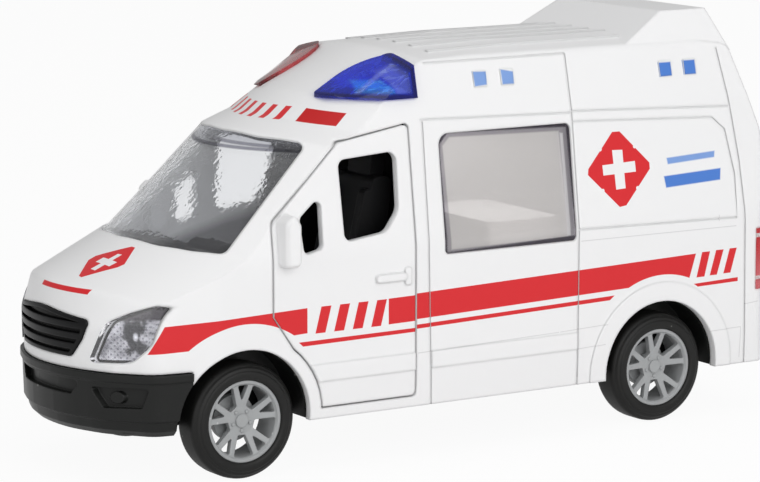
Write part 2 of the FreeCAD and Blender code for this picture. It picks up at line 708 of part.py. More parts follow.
def make_pan_details():
    """Screw posts above the floor, and the battery door, its tab and two long ribs below it."""
    pieces = [cylinder_z(POST_R, x, y, PAN_Z, PAN_Z + 8.0) for x, y in post_places()]
    door_rear = REAR_AXLE_X + ARCH_R + 12.0
    door_length = 26.0
    door_half = 9.5
    door = [
        (door_rear, -door_half, 1.5),
        (door_rear + door_length, -door_half, 1.5),
        (door_rear + door_length, door_half, 1.5),
        (door_rear, door_half, 1.5),
    ]
    pieces.append(prism_z(door, PAN_Z - 0.6, PAN_Z + 0.4))
    pieces.append(box(door_rear + door_length, door_rear + door_length + 2.0, -2.5, 2.5, PAN_Z - 0.4, PAN_Z + 0.4))
    rib_y = WELL_Y - 1.6
    rib = box(REAR_AXLE_X + ARCH_R + 2.5, FRONT_AXLE_X - ARCH_R - 2.5, rib_y, rib_y + 1.0, PAN_Z - 0.6, PAN_Z + 0.4)
    return pieces + both_sides(rib)


# Wheels

def make_tyre(x, side):
    """Slick tyre with a bevelled shoulder, turned as one ring."""
    face = WHEEL_FACE_Y
    profile = [
        (RIM_R, WHEEL_BACK_Y),
        (TYRE_R, WHEEL_BACK_Y),
        (TYRE_R, face - 1.2),
        (TYRE_R - 1.3, face),
        (RIM_R, face),
    ]
    wire = Part.makePolygon([V(r, y, 0) for r, y in profile + profile[:1]])
    ring = Part.Face(wire).revolve(V(0, 0, 0), V(0, 1, 0), 360)
    if side < 0:
        ring = mirror_y(ring)
    ring.translate(V(x, 0, AXLE_Z))
    return ring


def polar(radius, degrees, rounding):
    angle = math.radians(degrees)
    return radius * math.cos(angle), radius * math.sin(angle), rounding


def make_rim(x, side):
    """Rim barrel, a dished face cut into five pairs of spokes, a hub with its cap, and a drum behind."""
    face = WHEEL_FACE_Y - TYRE_SET_IN
    back = face - RIM_DEPTH
    lip = RIM_R - RIM_WALL
    barrel = [(lip, back), (RIM_R, back), (RIM_R, face), (lip + 0.3, face), (lip, face - 0.5)]
    dish = [(0, face - 1.3), (HUB_R, face - 1.3), (lip, face - 0.5), (lip, face - 1.7), (HUB_R, face - 2.7), (0, face - 2.7)]
    dish_shape = turned(dish)
    step = 360.0 / SPOKE_PAIRS
    edge = lip + 0.02
    cutters = []
    for i in range(SPOKE_PAIRS):
        turn = 90.0 + i * step
        wide = [polar(HUB_R + 0.3, turn + 20, 0.3), polar(edge, turn + 18, 0.4), polar(edge + 0.25, turn + 36, 4.0),
                polar(edge, turn + 54, 0.4), polar(HUB_R + 0.3, turn + 52, 0.3)]
        narrow = [polar(HUB_R + 1.1, turn, 0.2), polar(edge, turn - 9.5, 0.3), polar(edge, turn + 9.5, 0.3)]
        cutters.append(prism_y(wide, back - 1, face + 1))
        cutters.append(prism_y(narrow, back - 1, face + 1))
    cutters = [cutter.common(cylinder_y(lip, 0, back - 1, face + 1, 0)) for cutter in cutters]
    dish_shape = dish_shape.cut(cutters)
    hub = cylinder_y(HUB_R - 0.4, 0, back, face - 2.0, 0)
    drum = cylinder_y(DRUM_R, 0, back + 0.8, back + 2.4, 0)
    cap = cylinder_y(CAP_R, 0, face - 2.0, face - 0.9, 0)
    rim = turned(barrel).fuse([dish_shape, hub, drum, cap])
    rim = rim.cut(cylinder_y(AXLE_R, 0, back - 1, face - 2.5, 0))
    if side < 0:
        rim = mirror_y(rim)
    rim.translate(V(x, 0, AXLE_Z))
    return rim.removeSplitter()


def turned(profile):
    """A ring or disc turned about the wheel's axis from a profile of (radius, y)."""
    wire = Part.makePolygon([V(r, y, 0) for r, y in profile + profile[:1]])
    return Part.Face(wire).revolve(V(0, 0, 0), V(0, 1, 0), 360)


def make_axle(x):
    reach = WHEEL_FACE_Y - TYRE_SET_IN - 2.5
    return cylinder_y(AXLE_R, x, -reach, reach, AXLE_Z)


# Cab and load space

def make_cab_tub():
    """Cab floor and back wall, one black moulding."""
    top = CAB_FLOOR_Z + CAB_FLOOR_THICKNESS
    floor = box(CAB_WALL_X, FRONT_AXLE_X + 10, -BIG, BIG, CAB_FLOOR_Z, top)
    wall = box(CAB_WALL_X - 0.8, CAB_WALL_X + 0.6, -BIG, BIG, PAN_TOP_Z, BIG)
    return floor.fuse(wall).common(body_form(WALL + LINER_GAP)).removeSplitter()


def make_seat(side):
    """Seat with a leaning back, raised side bolsters and a head rest."""
    x = CAB_WALL_X
    floor = CAB_FLOOR_Z + CAB_FLOOR_THICKNESS
    outline = [
        (x + 3.2, floor, 0),
        (x + 21.2, floor, 1.0),
        (x + 22.2, floor + 7.4, 1.5),
        (x + 11.8, floor + 7.9, 2.0),
        (x + 7.6, floor + 27.4, 1.5),
        (x + 3.2, floor + 27.4, 1.5),
        (x + 5.0, floor + 11.4, 3.0),
    ]
    centre = DOOR_INNER_Y - 2.7 - SEAT_WIDTH / 2
    half = SEAT_WIDTH / 2
    seat = prism_y(outline, centre - half, centre + half)
    bolster = [
        (x + 11.0, floor + 9.0, 1.0),
        (x + 13.4, floor + 9.0, 1.0),
        (x + 9.6, floor + 25.0, 1.0),
        (x + 7.4, floor + 25.0, 0.8),
    ]
    for edge in (centre - half, centre + half - 2.2):
        seat = seat.fuse(prism_y(bolster, edge, edge + 2.2))
    head_low = floor + 26.9
    head = [(x + 3.4, head_low, 0), (x + 6.8, head_low, 0), (x + 5.8, head_low + 6.5, 1.2), (x + 2.6, head_low + 6.5, 1.2)]
    seat = seat.fuse(prism_y(head, centre - 4.0, centre + 4.0)).removeSplitter()
    return seat if side > 0 else mirror_y(seat)


def make_dashboard():
    """Dashboard across the cab, with a hood over the dials and a centre stack."""
    floor = CAB_FLOOR_Z + CAB_FLOOR_THICKNESS
    x = DOOR_FRONT_X
    outline = [
        (x + 2.1, floor, 0),
        (x + 16.1, floor, 0),
        (x + 16.1, floor + 11.4, 2.0),
        (x + 8.1, floor + 14.8, 2.0),
        (x + 0.6, floor + 13.4, 2.0),
        (x - 0.9, floor + 9.4, 1.5),
    ]
    board = prism_y(outline, -BIG, BIG)
    hood = [(x + 0.4, floor + 12.5, 0), (x + 8.0, floor + 13.0, 0), (x + 7.0, floor + 16.4, 1.5), (x + 1.4, floor + 15.6, 1.5)]
    stack = [(x - 2.4, floor, 0), (x + 3.0, floor, 0), (x + 3.0, floor + 10.0, 0), (x - 1.6, floor + 10.0, 1.0)]
    board = board.fuse([prism_y(hood, 6.5, 18.5), prism_y(stack, -4.5, 4.5)])
    return board.common(body_form(WALL + LINER_GAP)).removeSplitter()


def make_steering_wheel():
    """Flat rim with a hub, three spokes and its column into the dashboard."""
    ring = Part.makeCylinder(STEERING_R + 0.5, 0.9).cut(Part.makeCylinder(STEERING_R - 0.5, 0.9))
    hub = Part.makeCylinder(1.4, 0.9)
    bar = Part.makeBox(2 * STEERING_R, 1.0, 0.6, V(-STEERING_R, -0.5, 0.1))
    stem = Part.makeBox(1.0, STEERING_R, 0.6, V(-0.5, -STEERING_R, 0.1))
    column = Part.makeCylinder(0.9, COLUMN_LENGTH, V(0, 0, -COLUMN_LENGTH))
    wheel = ring.fuse([hub, bar, stem, column])
    wheel.rotate(V(0, 0, 0), V(0, 0, 1), 90)
    wheel.rotate(V(0, 0, 0), V(0, 1, 0), -62)
    wheel.translate(V(DOOR_FRONT_X - 5.1, 12.5, CAB_FLOOR_Z + 14.6))
    return wheel


def make_power_box():
    """Closed box for the cells and the sound unit, seen through the side windows."""
    rear = GROOVE_REAR_X - 3.8
    front = rear + 17.5
    outline = [(rear, -BOX_HALF, 1.0), (front, -BOX_HALF, 1.0), (front, BOX_HALF, 1.0), (rear, BOX_HALF, 1.0)]
    return prism_z(outline, PAN_TOP_Z, BELT_Z + 2.5)


def make_motor():
    """Plain block for the pull-back motor on the rear axle."""
    x = REAR_AXLE_X
    block = box(x - 9, x + 9, -MOTOR_HALF, MOTOR_HALF, PAN_TOP_Z, PAN_TOP_Z + MOTOR_HEIGHT)
    return block.cut(cylinder_y(AXLE_R + AXLE_CLEARANCE, x, -BIG, BIG, AXLE_Z))


# Lamps

def make_roof_lamp(side):
    """Front corner roof lamp: a domed wedge that runs to a point over the windscreen."""
    x = ROOF_START_X
    y = ROOF_EDGE_HALF
    outline = [
        (x + 0.5, y - 7.6, 2.5),
        (x + 6.0, y - 12.4, 12.0),
        (x + 16.8, y - 10.6, 0.4),
        (x + 15.4, y - 0.2, 1.0),
        (x + 0.5, y + 5.0, 0),
    ]
    wedge = prism_z(outline, ROOF_EDGE_Z - 7.2, BIG)
    lamp = skin(wedge, -LAMP_PROUD, LENS_THICKNESS)
    return lamp if side > 0 else mirror_y(lamp)


def make_tail_lamp():
    """Tail lamp on the rear corner, in three fields."""
    inner = BELT_HALF - 4.1
    prism = box(REAR_X - 5, REAR_X + 3.2, inner, BIG, BELT_Z - 15.0, BELT_Z - 2.0)
    lamp = skin(prism, -PROUD, LENS_THICKNESS)
    fields = []
    for z in (BELT_Z - 12.9, BELT_Z - 4.0):
        fields.append(skin(box(REAR_X - 5, REAR_X + 5, inner - 1, BIG, z - 0.3, z + 0.3), -2 * PROUD, 0))
    return lamp.cut(fields)


def build():
    parts = {}
    shell = make_body_shell()
    for side in (1, -1):
        lamp = make_roof_lamp(side)
        tail = make_tail_lamp() if side > 0 else mirror_y(make_tail_lamp())
        shell = shell.cut([lamp, tail])
        parts["roof_lamp_blue" if side > 0 else "roof_lamp_red"] = lamp
        parts["tail_lamp_" + ("left" if side > 0 else "right")] = tail
    parts["body_shell"] = shell
    parts["chassis"] = make_chassis()
    parts["windscreen"] = make_windscreen()
    parts["grille"] = make_grille()
    one_side = {
        "side_window": make_side_window(),
        "rear_window": make_rear_window(),
        "headlamp_lens": make_headlamp_lens(),
        "headlamp_reflector": make_headlamp_reflector(),
        "door": make_door(),
    }
    for name, shape in one_side.items():
        parts[name + "_left"] = shape
        parts[name + "_right"] = mirror_y(shape)
    for end, x in (("front", FRONT_AXLE_X), ("rear", REAR_AXLE_X)):
        parts["axle_" + end] = make_axle(x)
        for name, side in (("left", 1), ("right", -1)):
            parts["tyre_" + end + "_" + name] = make_tyre(x, side)
            parts["rim_" + end + "_" + name] = make_rim(x, side)
    parts["cab_tub"] = make_cab_tub()
    parts["seat_left"] = make_seat(1)
    parts["seat_right"] = make_seat(-1)
    parts["dashboard"] = make_dashboard()
    parts["steering_wheel"] = make_steering_wheel()
    parts["power_box"] = make_power_box()
    parts["pull_back_motor"] = make_motor()
    return parts


os.makedirs("parts", exist_ok=True)
for name, shape in build().items():
    shape.translate(V(-ORIGIN_X, 0, 0))
    print(name, len(shape.Solids), round(shape.Volume, 1), shape.isValid())
    shape.exportStep("parts/" + name + ".step")
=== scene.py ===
import math

import bpy
import numpy as np
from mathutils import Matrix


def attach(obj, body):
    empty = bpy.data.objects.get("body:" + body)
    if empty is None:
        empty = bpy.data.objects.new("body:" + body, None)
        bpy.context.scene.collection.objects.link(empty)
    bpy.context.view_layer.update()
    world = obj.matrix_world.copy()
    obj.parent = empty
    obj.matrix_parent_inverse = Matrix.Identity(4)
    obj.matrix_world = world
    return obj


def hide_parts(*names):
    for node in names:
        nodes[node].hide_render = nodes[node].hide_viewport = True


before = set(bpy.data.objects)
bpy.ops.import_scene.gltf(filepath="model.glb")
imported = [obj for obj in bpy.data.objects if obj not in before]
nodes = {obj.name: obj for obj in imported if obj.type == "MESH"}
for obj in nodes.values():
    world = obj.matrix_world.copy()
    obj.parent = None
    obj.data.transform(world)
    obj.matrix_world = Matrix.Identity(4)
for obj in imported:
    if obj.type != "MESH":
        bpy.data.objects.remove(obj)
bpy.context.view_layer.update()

# Body shell and the two front doors.
# White ABS with smooth satin faces; the shell is one moulding and the doors are hinged into it.
# The bands, diamonds and squares are pad printed in red and blue, a little off register.
SHELL_WHITE = (0.83, 0.83, 0.835, 1)
SHELL_DUST = (0.55, 0.54, 0.53, 1)
SEAM_GREY = (0.30, 0.29, 0.30, 1)
PRINT_RED = (0.66, 0.018, 0.024, 1)
PRINT_DEEP_RED = (0.52, 0.003, 0.004, 1)
PRINT_BLUE = (0.07, 0.20, 0.60, 1)
PRINT_PALE_BLUE = (0.20, 0.34, 0.68, 1)
SHELL_EDGE_M = 0.0008
GRAIN_DEPTH_M = 0.0001
FRAME_SHIFT_MM = 1.55


def new_group(name, inputs, outputs):
    """An empty shader node group with number sockets: inputs with their usual values, and outputs."""
    group = bpy.data.node_groups.new(name, "ShaderNodeTree")
    for label, value in inputs.items():
        socket = group.interface.new_socket(label, in_out="INPUT", socket_type="NodeSocketFloat")
        socket.default_value = value
    for label in outputs:
        group.interface.new_socket(label, in_out="OUTPUT", socket_type="NodeSocketFloat")
    entry = group.nodes.new("NodeGroupInput")
    leave = group.nodes.new("NodeGroupOutput")
    return group, entry, leave


def feed(tree, value, socket):
    """Link a socket to another, or set it to a plain value."""
    if isinstance(value, bpy.types.NodeSocket):
        tree.links.new(value, socket)
    else:
        socket.default_value = value


def maths(tree, operation, a, b=0.0, c=0.0, clamp=False):
    """The output of a new Math node fed with up to three values or sockets."""
    node = tree.nodes.new("ShaderNodeMath")
    node.operation = operation
    node.use_clamp = clamp
    for value, socket in zip((a, b, c), node.inputs):
        feed(tree, value, socket)
    return node.outputs[0]


def vector_maths(tree, operation, a, b):
    """The output of a new Vector Math node: a number for a dot product or distance, else a vector."""
    node = tree.nodes.new("ShaderNodeVectorMath")
    node.operation = operation
    feed(tree, a, node.inputs[0])
    feed(tree, b, node.inputs[1])
    return node.outputs["Value" if operation in ("DOT_PRODUCT", "DISTANCE", "LENGTH") else "Vector"]


def millimetres(tree):
    """Object coordinates in millimetres from the middle of the wheelbase, split into x, y and z."""
    place = tree.nodes.new("ShaderNodeTexCoord").outputs["Object"]
    scaled = vector_maths(tree, "SCALE", place, (0, 0, 0))
    scaled.node.inputs["Scale"].default_value = 1000.0
    moved = vector_maths(tree, "ADD", scaled, (FRAME_SHIFT_MM, 0, 0))
    split = tree.nodes.new("ShaderNodeSeparateXYZ")
    tree.links.new(moved, split.inputs[0])
    return split.outputs


def facing_parts(tree):
    """The surface normal along the object's axes, split into x, y and z."""
    split = tree.nodes.new("ShaderNodeSeparateXYZ")
    tree.links.new(tree.nodes.new("ShaderNodeTexCoord").outputs["Normal"], split.inputs[0])
    return split.outputs


def flat_place(tree, a, b):
    """The vector (a, b, 1), whose dot product with an edge's numbers is the distance from that edge."""
    join = tree.nodes.new("ShaderNodeCombineXYZ")
    feed(tree, a, join.inputs[0])
    feed(tree, b, join.inputs[1])
    join.inputs[2].default_value = 1.0
    return join.outputs[0]


def inside(tree, place, corners):
    """Signed distance into a convex outline: the least distance from its edges, positive inside."""
    ring = np.array(corners, float)
    ahead = np.roll(ring, -1, axis=0)
    if np.sum(ring[:, 0] * ahead[:, 1] - ahead[:, 0] * ring[:, 1]) < 0:
        ring = ring[::-1]
        ahead = np.roll(ring, -1, axis=0)
    depth = None
    for (a0, b0), (a1, b1) in zip(ring, ahead):
        run = math.hypot(a1 - a0, b1 - b0)
        na, nb = -(b1 - b0) / run, (a1 - a0) / run
        away = vector_maths(tree, "DOT_PRODUCT", place, (na, nb, -na * a0 - nb * b0))
        depth = away if depth is None else maths(tree, "MINIMUM", depth, away)
    return depth


def union(tree, depths):
    """Distance into the nearest of several outlines."""
    total = depths[0]
    for depth in depths[1:]:
        total = maths(tree, "MAXIMUM", total, depth)
    return total


def crisp(tree, depth, softness=0.08):
    """Turn a distance in millimetres into a mask with an edge that is softness wide."""
    return maths(tree, "MULTIPLY_ADD", depth, 1 / softness, 0.5, clamp=True)


def slanted_bars(first, width, pitch, count, low, high, lean):
    """Outlines of equal slanted bars, from first rearwards, leaning by lean at the top."""
    bars = []
    for i in range(count):
        front = first - i * pitch
        rear = front - width
        bars.append([(rear, low), (front, low), (front - lean, high), (rear - lean, high)])
    return bars


def badge(tree, place, diamond, upright, level):
    """Distance into a cut-corner diamond less the two bars of the plus inside it."""
    plus = union(tree, [inside(tree, place, upright), inside(tree, place, level)])
    return maths(tree, "MINIMUM", inside(tree, place, diamond), maths(tree, "MULTIPLY", plus, -1.0))


def nicks(tree, place, depth, centres, radius):
    """Cut small round nicks into an outline at the given centres."""
    for a, b in centres:
        off = vector_maths(tree, "DISTANCE", place, (a, b, 1.0))
        depth = maths(tree, "MINIMUM", depth, maths(tree, "SUBTRACT", off, radius))
    return depth


ARCHES_MM = ((50.3, 11.3, 19.6), (-50.0, 11.5, 19.8))
NICK_RADIUS_MM = 0.42
BLUE_EDGE_MM = 0.25
FLANK_FACING = 0.55


def side_print_group():
    """Masks of what is printed on both flanks: bands, bars, diamond and blue marks, by x and height."""
    group, _, leave = new_group("flank print", {}, ["Red", "Blue", "Pale Blue"])
    x, y, z = millimetres(group)
    place = flat_place(group, x, z)
    wing = inside(group, place, [(36.4, 27.4), (62.8, 26.7), (70.3, 26.4), (67.2, 31.8), (36.4, 32.75)])
    rear_of_door = inside(group, place, [(11.0, 27.7), (17.6, 27.6), (17.6, 32.8), (11.0, 32.9)])
    flank = inside(group, place, [(-57.1, 29.8), (-40.2, 29.3), (10.95, 28.0), (10.95, 33.2), (-58.8, 35.0)])
    band = union(group, [wing, rear_of_door, flank])
    for arch_x, arch_z, radius in ARCHES_MM:
        off = vector_maths(group, "DISTANCE", place, (arch_x, arch_z, 1.0))
        band = maths(group, "MINIMUM", band, maths(group, "SUBTRACT", off, radius))
    thin = [
        inside(group, place, [(11.0, 25.5), (37.4, 25.2), (38.4, 26.1), (11.0, 26.3)]),
        inside(group, place, [(-36.6, 27.2), (10.95, 26.05), (10.95, 26.9), (-37.8, 28.1)]),
        inside(group, place, [(-70.0, 28.1), (-59.4, 27.9), (-58.3, 28.6), (-70.0, 28.95)]),
    ]
    rear_bars = [
        [(-61.1, 29.9), (-59.0, 29.9), (-60.4, 35.15), (-62.5, 35.15)],
        [(-64.4, 30.0), (-62.5, 30.0), (-64.1, 35.25), (-66.1, 35.25)],
        [(-68.0, 30.1), (-66.1, 30.1), (-67.7, 35.3), (-69.6, 35.3)],
    ]
    door_bars = slanted_bars(34.6, width=2.3, pitch=4.3, count=4, low=27.5, high=32.75, lean=1.4)
    bars = [inside(group, place, outline) for outline in rear_bars + door_bars]
    diamond = badge(
        group, place,
        [
            (-38.5, 61.8), (-40.4, 61.8), (-47.5, 54.9), (-47.5, 53.6),
            (-40.9, 46.6), (-39.2, 46.4), (-31.7, 53.5), (-31.9, 54.7),
        ],
        [(-38.2, 58.1), (-40.8, 58.0), (-41.0, 50.1), (-38.6, 50.0)],
        [(-35.5, 55.2), (-43.8, 55.5), (-43.9, 53.3), (-35.6, 53.1)],
    )
    corners = [(-35.2, 58.5), (-44.0, 58.5), (-44.1, 49.9), (-35.2, 50.0)]
    diamond = nicks(group, place, diamond, corners, NICK_RADIUS_MM)
    red = crisp(group, union(group, [band, diamond] + thin + bars))
    blue_marks = [
        [(-65.6, 50.0), (-51.4, 49.4), (-51.0, 51.8), (-65.9, 52.4)],
        [(-55.0, 75.1), (-55.0, 72.3), (-52.0, 72.2), (-51.9, 75.1)],
        [(-61.3, 75.2), (-61.3, 72.3), (-58.3, 72.3), (-58.2, 75.2)],
    ]
    blue = union(group, [inside(group, place, outline) for outline in blue_marks])
    pale_marks = [
        [(-64.4, 54.8), (-52.2, 54.2), (-52.0, 55.5), (-64.6, 56.1)],
        [(-8.6, 73.3), (-5.7, 73.1), (-5.5, 76.0), (-8.8, 75.9)],
        [(-15.2, 73.1), (-12.4, 73.1), (-12.3, 76.1), (-15.3, 75.5)],
    ]
    pale = union(group, [inside(group, place, outline) for outline in pale_marks])
    blue, pale = (crisp(group, depth, softness=BLUE_EDGE_MM) for depth in (blue, pale))
    outwards = maths(group, "MULTIPLY", facing_parts(group)[1], maths(group, "SIGN", y))
    facing = maths(group, "GREATER_THAN", outwards, FLANK_FACING)
    for mask, label in ((red, "Red"), (blue, "Blue"), (pale, "Pale Blue")):
        group.links.new(maths(group, "MULTIPLY", mask, facing), leave.inputs[label])
    return group


BROW_ABOVE_MM = 60.0
BROW_AHEAD_MM = 20.0
BONNET_BELOW_MM = 50.0
BONNET_AHEAD_MM = 60.0
TOP_FACING = 0.45
FORWARD_WEIGHT = 0.8


def top_print_group():
    """Masks of what is printed on the bonnet and over the windscreen."""
    group, _, leave = new_group("bonnet print", {}, ["Red", "Deep Red"])
    x, y, z = millimetres(group)
    across = flat_place(group, y, z)
    brow = [
        [(11.7, 69.8), (19.4, 69.25), (20.2, 66.95), (12.7, 67.5)],
        [(-14.6, 69.9), (-20.2, 69.6), (-19.3, 67.0), (-13.6, 67.5)],
    ]
    deep = union(group, [inside(group, across, outline) for outline in brow])
    outlines = slanted_bars(9.4, width=1.5, pitch=3.6, count=6, low=67.6, high=69.9, lean=0.9)
    brow_bars = union(group, [inside(group, across, outline) for outline in outlines])
    above = maths(group, "GREATER_THAN", z, BROW_ABOVE_MM)
    ahead = maths(group, "GREATER_THAN", x, BROW_AHEAD_MM)
    brow_zone = maths(group, "MULTIPLY", above, ahead)
    plan = flat_place(group, x, y)
    diamond = badge(
        group, plan,
        [
            (64.4, 7.4), (64.2, 8.4), (68.1, 11.2), (69.5, 10.8),
            (75.3, 6.9), (75.3, 5.9), (71.3, 2.4), (69.8, 2.6),
        ],
        [(67.2, 6.9), (66.9, 8.0), (72.6, 7.5), (72.8, 6.1)],
        [(71.0, 4.8), (69.4, 5.0), (68.7, 9.3), (70.3, 9.0)],
    )
    rule = inside(group, across, [(-2.4, 37.15), (-2.0, 38.1), (12.4, 37.95), (12.0, 37.0)])
    low = maths(group, "LESS_THAN", z, BONNET_BELOW_MM)
    front = maths(group, "GREATER_THAN", x, BONNET_AHEAD_MM)
    bonnet_zone = maths(group, "MULTIPLY", low, front)
    forwards, _, upwards = facing_parts(group)
    tilt = maths(group, "ADD", upwards, maths(group, "MULTIPLY", forwards, FORWARD_WEIGHT))
    facing = maths(group, "GREATER_THAN", tilt, TOP_FACING)
    bonnet = maths(group, "MULTIPLY", crisp(group, union(group, [diamond, rule])), bonnet_zone)
    bars = maths(group, "MULTIPLY", crisp(group, brow_bars), brow_zone)
    red = maths(group, "MULTIPLY", maths(group, "MAXIMUM", bonnet, bars), facing)
    group.links.new(red, leave.inputs["Red"])
    solid = maths(group, "MULTIPLY", maths(group, "MULTIPLY", crisp(group, deep), brow_zone), facing)
    group.links.new(solid, leave.inputs["Deep Red"])
    return group


SINK_WAVE_SCALE = 55.0
SINK_WAVE_SHARE, GRAIN_SHARE = 0.6, 0.4


def moulded_group():
    """Finish of moulded plastic: broad sink waves and a fine grain, as a roughness and a height."""
    usual = {"Roughness": 0.4, "Spread": 0.1, "Grain Size": 4000.0}
    group, entry, leave = new_group("moulded finish", usual, ["Roughness", "Height"])
    place = group.nodes.new("ShaderNodeTexCoord").outputs["Object"]
    broad = group.nodes.new("ShaderNodeTexNoise")
    broad.inputs["Scale"].default_value = SINK_WAVE_SCALE
    broad.inputs["Detail"].default_value = 3.0
    fine = group.nodes.new("ShaderNodeTexNoise")
    fine.inputs["Detail"].default_value = 2.0
    group.links.new(place, broad.inputs["Vector"])
    group.links.new(place, fine.inputs["Vector"])
    group.links.new(entry.outputs["Grain Size"], fine.inputs["Scale"])
    centred = maths(group, "SUBTRACT", broad.outputs[0], 0.5)
    rough = maths(group, "MULTIPLY_ADD", centred, entry.outputs["Spread"], entry.outputs["Roughness"])
    group.links.new(rough, leave.inputs["Roughness"])
    grain = maths(group, "MULTIPLY", fine.outputs[0], GRAIN_SHARE)
    height = maths(group, "MULTIPLY_ADD", broad.outputs[0], SINK_WAVE_SHARE, grain)
    group.links.new(height, leave.inputs["Height"])
    return group


def speck_group():
    """Scattered dust specks: small discs round random points, a share of them left out."""
    usual = {"Spacing": 400.0, "Size": 0.1, "Share": 0.3}
    group, entry, leave = new_group("dust specks", usual, ["Mask"])
    cells = group.nodes.new("ShaderNodeTexVoronoi")
    group.links.new(group.nodes.new("ShaderNodeTexCoord").outputs["Object"], cells.inputs["Vector"])
    group.links.new(entry.outputs["Spacing"], cells.inputs["Scale"])
    near = maths(group, "LESS_THAN", cells.outputs["Distance"], entry.outputs["Size"])
    split = group.nodes.new("ShaderNodeSeparateColor")
    group.links.new(cells.outputs["Color"], split.inputs[0])
    kept = maths(group, "LESS_THAN", split.outputs[0], entry.outputs["Share"])
    group.links.new(maths(group, "MULTIPLY", near, kept), leave.inputs["Mask"])
    return group


SEAM_HALF_MM = 0.09
SEAM_EDGE_MM = 0.12
FLANK_HALF_MM = 24.0
SEAM_STRENGTH = 0.35


def seam_group():
    """Mask of the fine moulded lines on both flanks: a thin strip between two places in x and height."""
    group, _, leave = new_group("moulded seams", {}, ["Mask"])
    x, y, z = millimetres(group)
    place = flat_place(group, x, z)
    lines = [
        ((-24.1, 21.8), (-36.0, 22.2)), ((10.6, 21.1), (-23.8, 21.8)), ((-28.3, 17.8), (-28.6, 11.9)),
        ((-28.3, 17.8), (-35.4, 18.1)), ((-62.7, 18.1), (-71.0, 18.2)), ((-71.0, 18.2), (-70.8, 11.6)),
        ((-29.2, 40.2), (-69.4, 40.0)), ((-64.8, 42.7), (-64.8, 41.4)), ((-71.9, 23.0), (-75.6, 23.3)),
    ]
    strips = []
    for (x0, z0), (x1, z1) in lines:
        run = math.hypot(x1 - x0, z1 - z0)
        nx, nz = -(z1 - z0) / run * SEAM_HALF_MM, (x1 - x0) / run * SEAM_HALF_MM
        strip = [(x0 - nx, z0 - nz), (x1 - nx, z1 - nz), (x1 + nx, z1 + nz), (x0 + nx, z0 + nz)]
        strips.append(inside(group, place, strip))
    flank = maths(group, "GREATER_THAN", maths(group, "ABSOLUTE", y), FLANK_HALF_MM)
    lines_mask = crisp(group, union(group, strips), softness=SEAM_EDGE_MM)
    group.links.new(maths(group, "MULTIPLY", lines_mask, flank), leave.inputs["Mask"])
    return group


SIDE_PRINT = side_print_group()
SEAMS = seam_group()
TOP_PRINT = top_print_group()
MOULDED = moulded_group()
SPECKS = speck_group()


def start_material(name):
    """A new node material with its Principled shader, and the tree that both are in."""
    material = bpy.data.materials.new(name)
    material.use_nodes = True
    tree = material.node_tree
    shader = tree.nodes["Principled BSDF"]
    return material, tree, shader


def place_group(tree, group, **values):
    """A node of the given group with its inputs set; an underscore in a name stands for a space."""
    node = tree.nodes.new("ShaderNodeGroup")
    node.node_tree = group
    for label, value in values.items():
        node.inputs[label.replace("_", " ")].default_value = value
    return node


def mix_colour(tree, factor, a, b):
    """Colour a where the factor is nought and b where it is one."""
    node = tree.nodes.new("ShaderNodeMix")
    node.data_type = "RGBA"
    feed(tree, factor, node.inputs[0])
    feed(tree, a, node.inputs[6])
    feed(tree, b, node.inputs[7])
    return node.outputs[2]


def speckled(tree, base, speck, spacing, size, share):
    """A base colour with scattered specks of another colour."""
    dust = place_group(tree, SPECKS, Spacing=spacing, Size=size, Share=share)
    return mix_colour(tree, dust.outputs["Mask"], base, speck)


def finish_surface(tree, shader, roughness, spread, grain, bump, edge=None):
    """Roughness and bump from the moulded finish, on edges rounded by edge metres where that is given."""
    finish = place_group(tree, MOULDED, Roughness=roughness, Spread=spread, Grain_Size=grain)
    tree.links.new(finish.outputs["Roughness"], shader.inputs["Roughness"])
    relief = tree.nodes.new("ShaderNodeBump")
    relief.inputs["Strength"].default_value = bump
    relief.inputs["Distance"].default_value = GRAIN_DEPTH_M
    tree.links.new(finish.outputs["Height"], relief.inputs["Height"])
    if edge:
        rounded = tree.nodes.new("ShaderNodeBevel")
        rounded.samples = 6
        rounded.inputs["Radius"].default_value = edge
        tree.links.new(rounded.outputs[0], relief.inputs["Normal"])
    tree.links.new(relief.outputs[0], shader.inputs["Normal"])


def shell_material():
    """White satin plastic with the prints and the fine moulded lines over it."""
    material, tree, shader = start_material("white satin shell")
    side = place_group(tree, SIDE_PRINT)
    top = place_group(tree, TOP_PRINT)
    colour = speckled(tree, SHELL_WHITE, SHELL_DUST, spacing=260.0, size=0.045, share=0.05)
    red = maths(tree, "MAXIMUM", side.outputs["Red"], top.outputs["Red"])
    colour = mix_colour(tree, red, colour, PRINT_RED)
    colour = mix_colour(tree, top.outputs["Deep Red"], colour, PRINT_DEEP_RED)
    colour = mix_colour(tree, side.outputs["Blue"], colour, PRINT_BLUE)
    colour = mix_colour(tree, side.outputs["Pale Blue"], colour, PRINT_PALE_BLUE)
    seam = place_group(tree, SEAMS).outputs["Mask"]
    colour = mix_colour(tree, maths(tree, "MULTIPLY", seam, SEAM_STRENGTH), colour, SEAM_GREY)
    tree.links.new(colour, shader.inputs["Base Color"])
    shader.inputs["IOR"].default_value = 1.5
    shader.inputs["Specular IOR Level"].default_value = 0.35
    finish_surface(tree, shader, roughness=0.34, spread=0.10, grain=2600.0, bump=0.10, edge=SHELL_EDGE_M)
    return material


def dress(names, material):
    """Give carried-over CAD pieces one material."""
    for name in names:
        mesh = nodes[name].data
        mesh.materials.clear()
        mesh.materials.append(material)


dress(["body_shell", "door_left", "door_right"], shell_material())


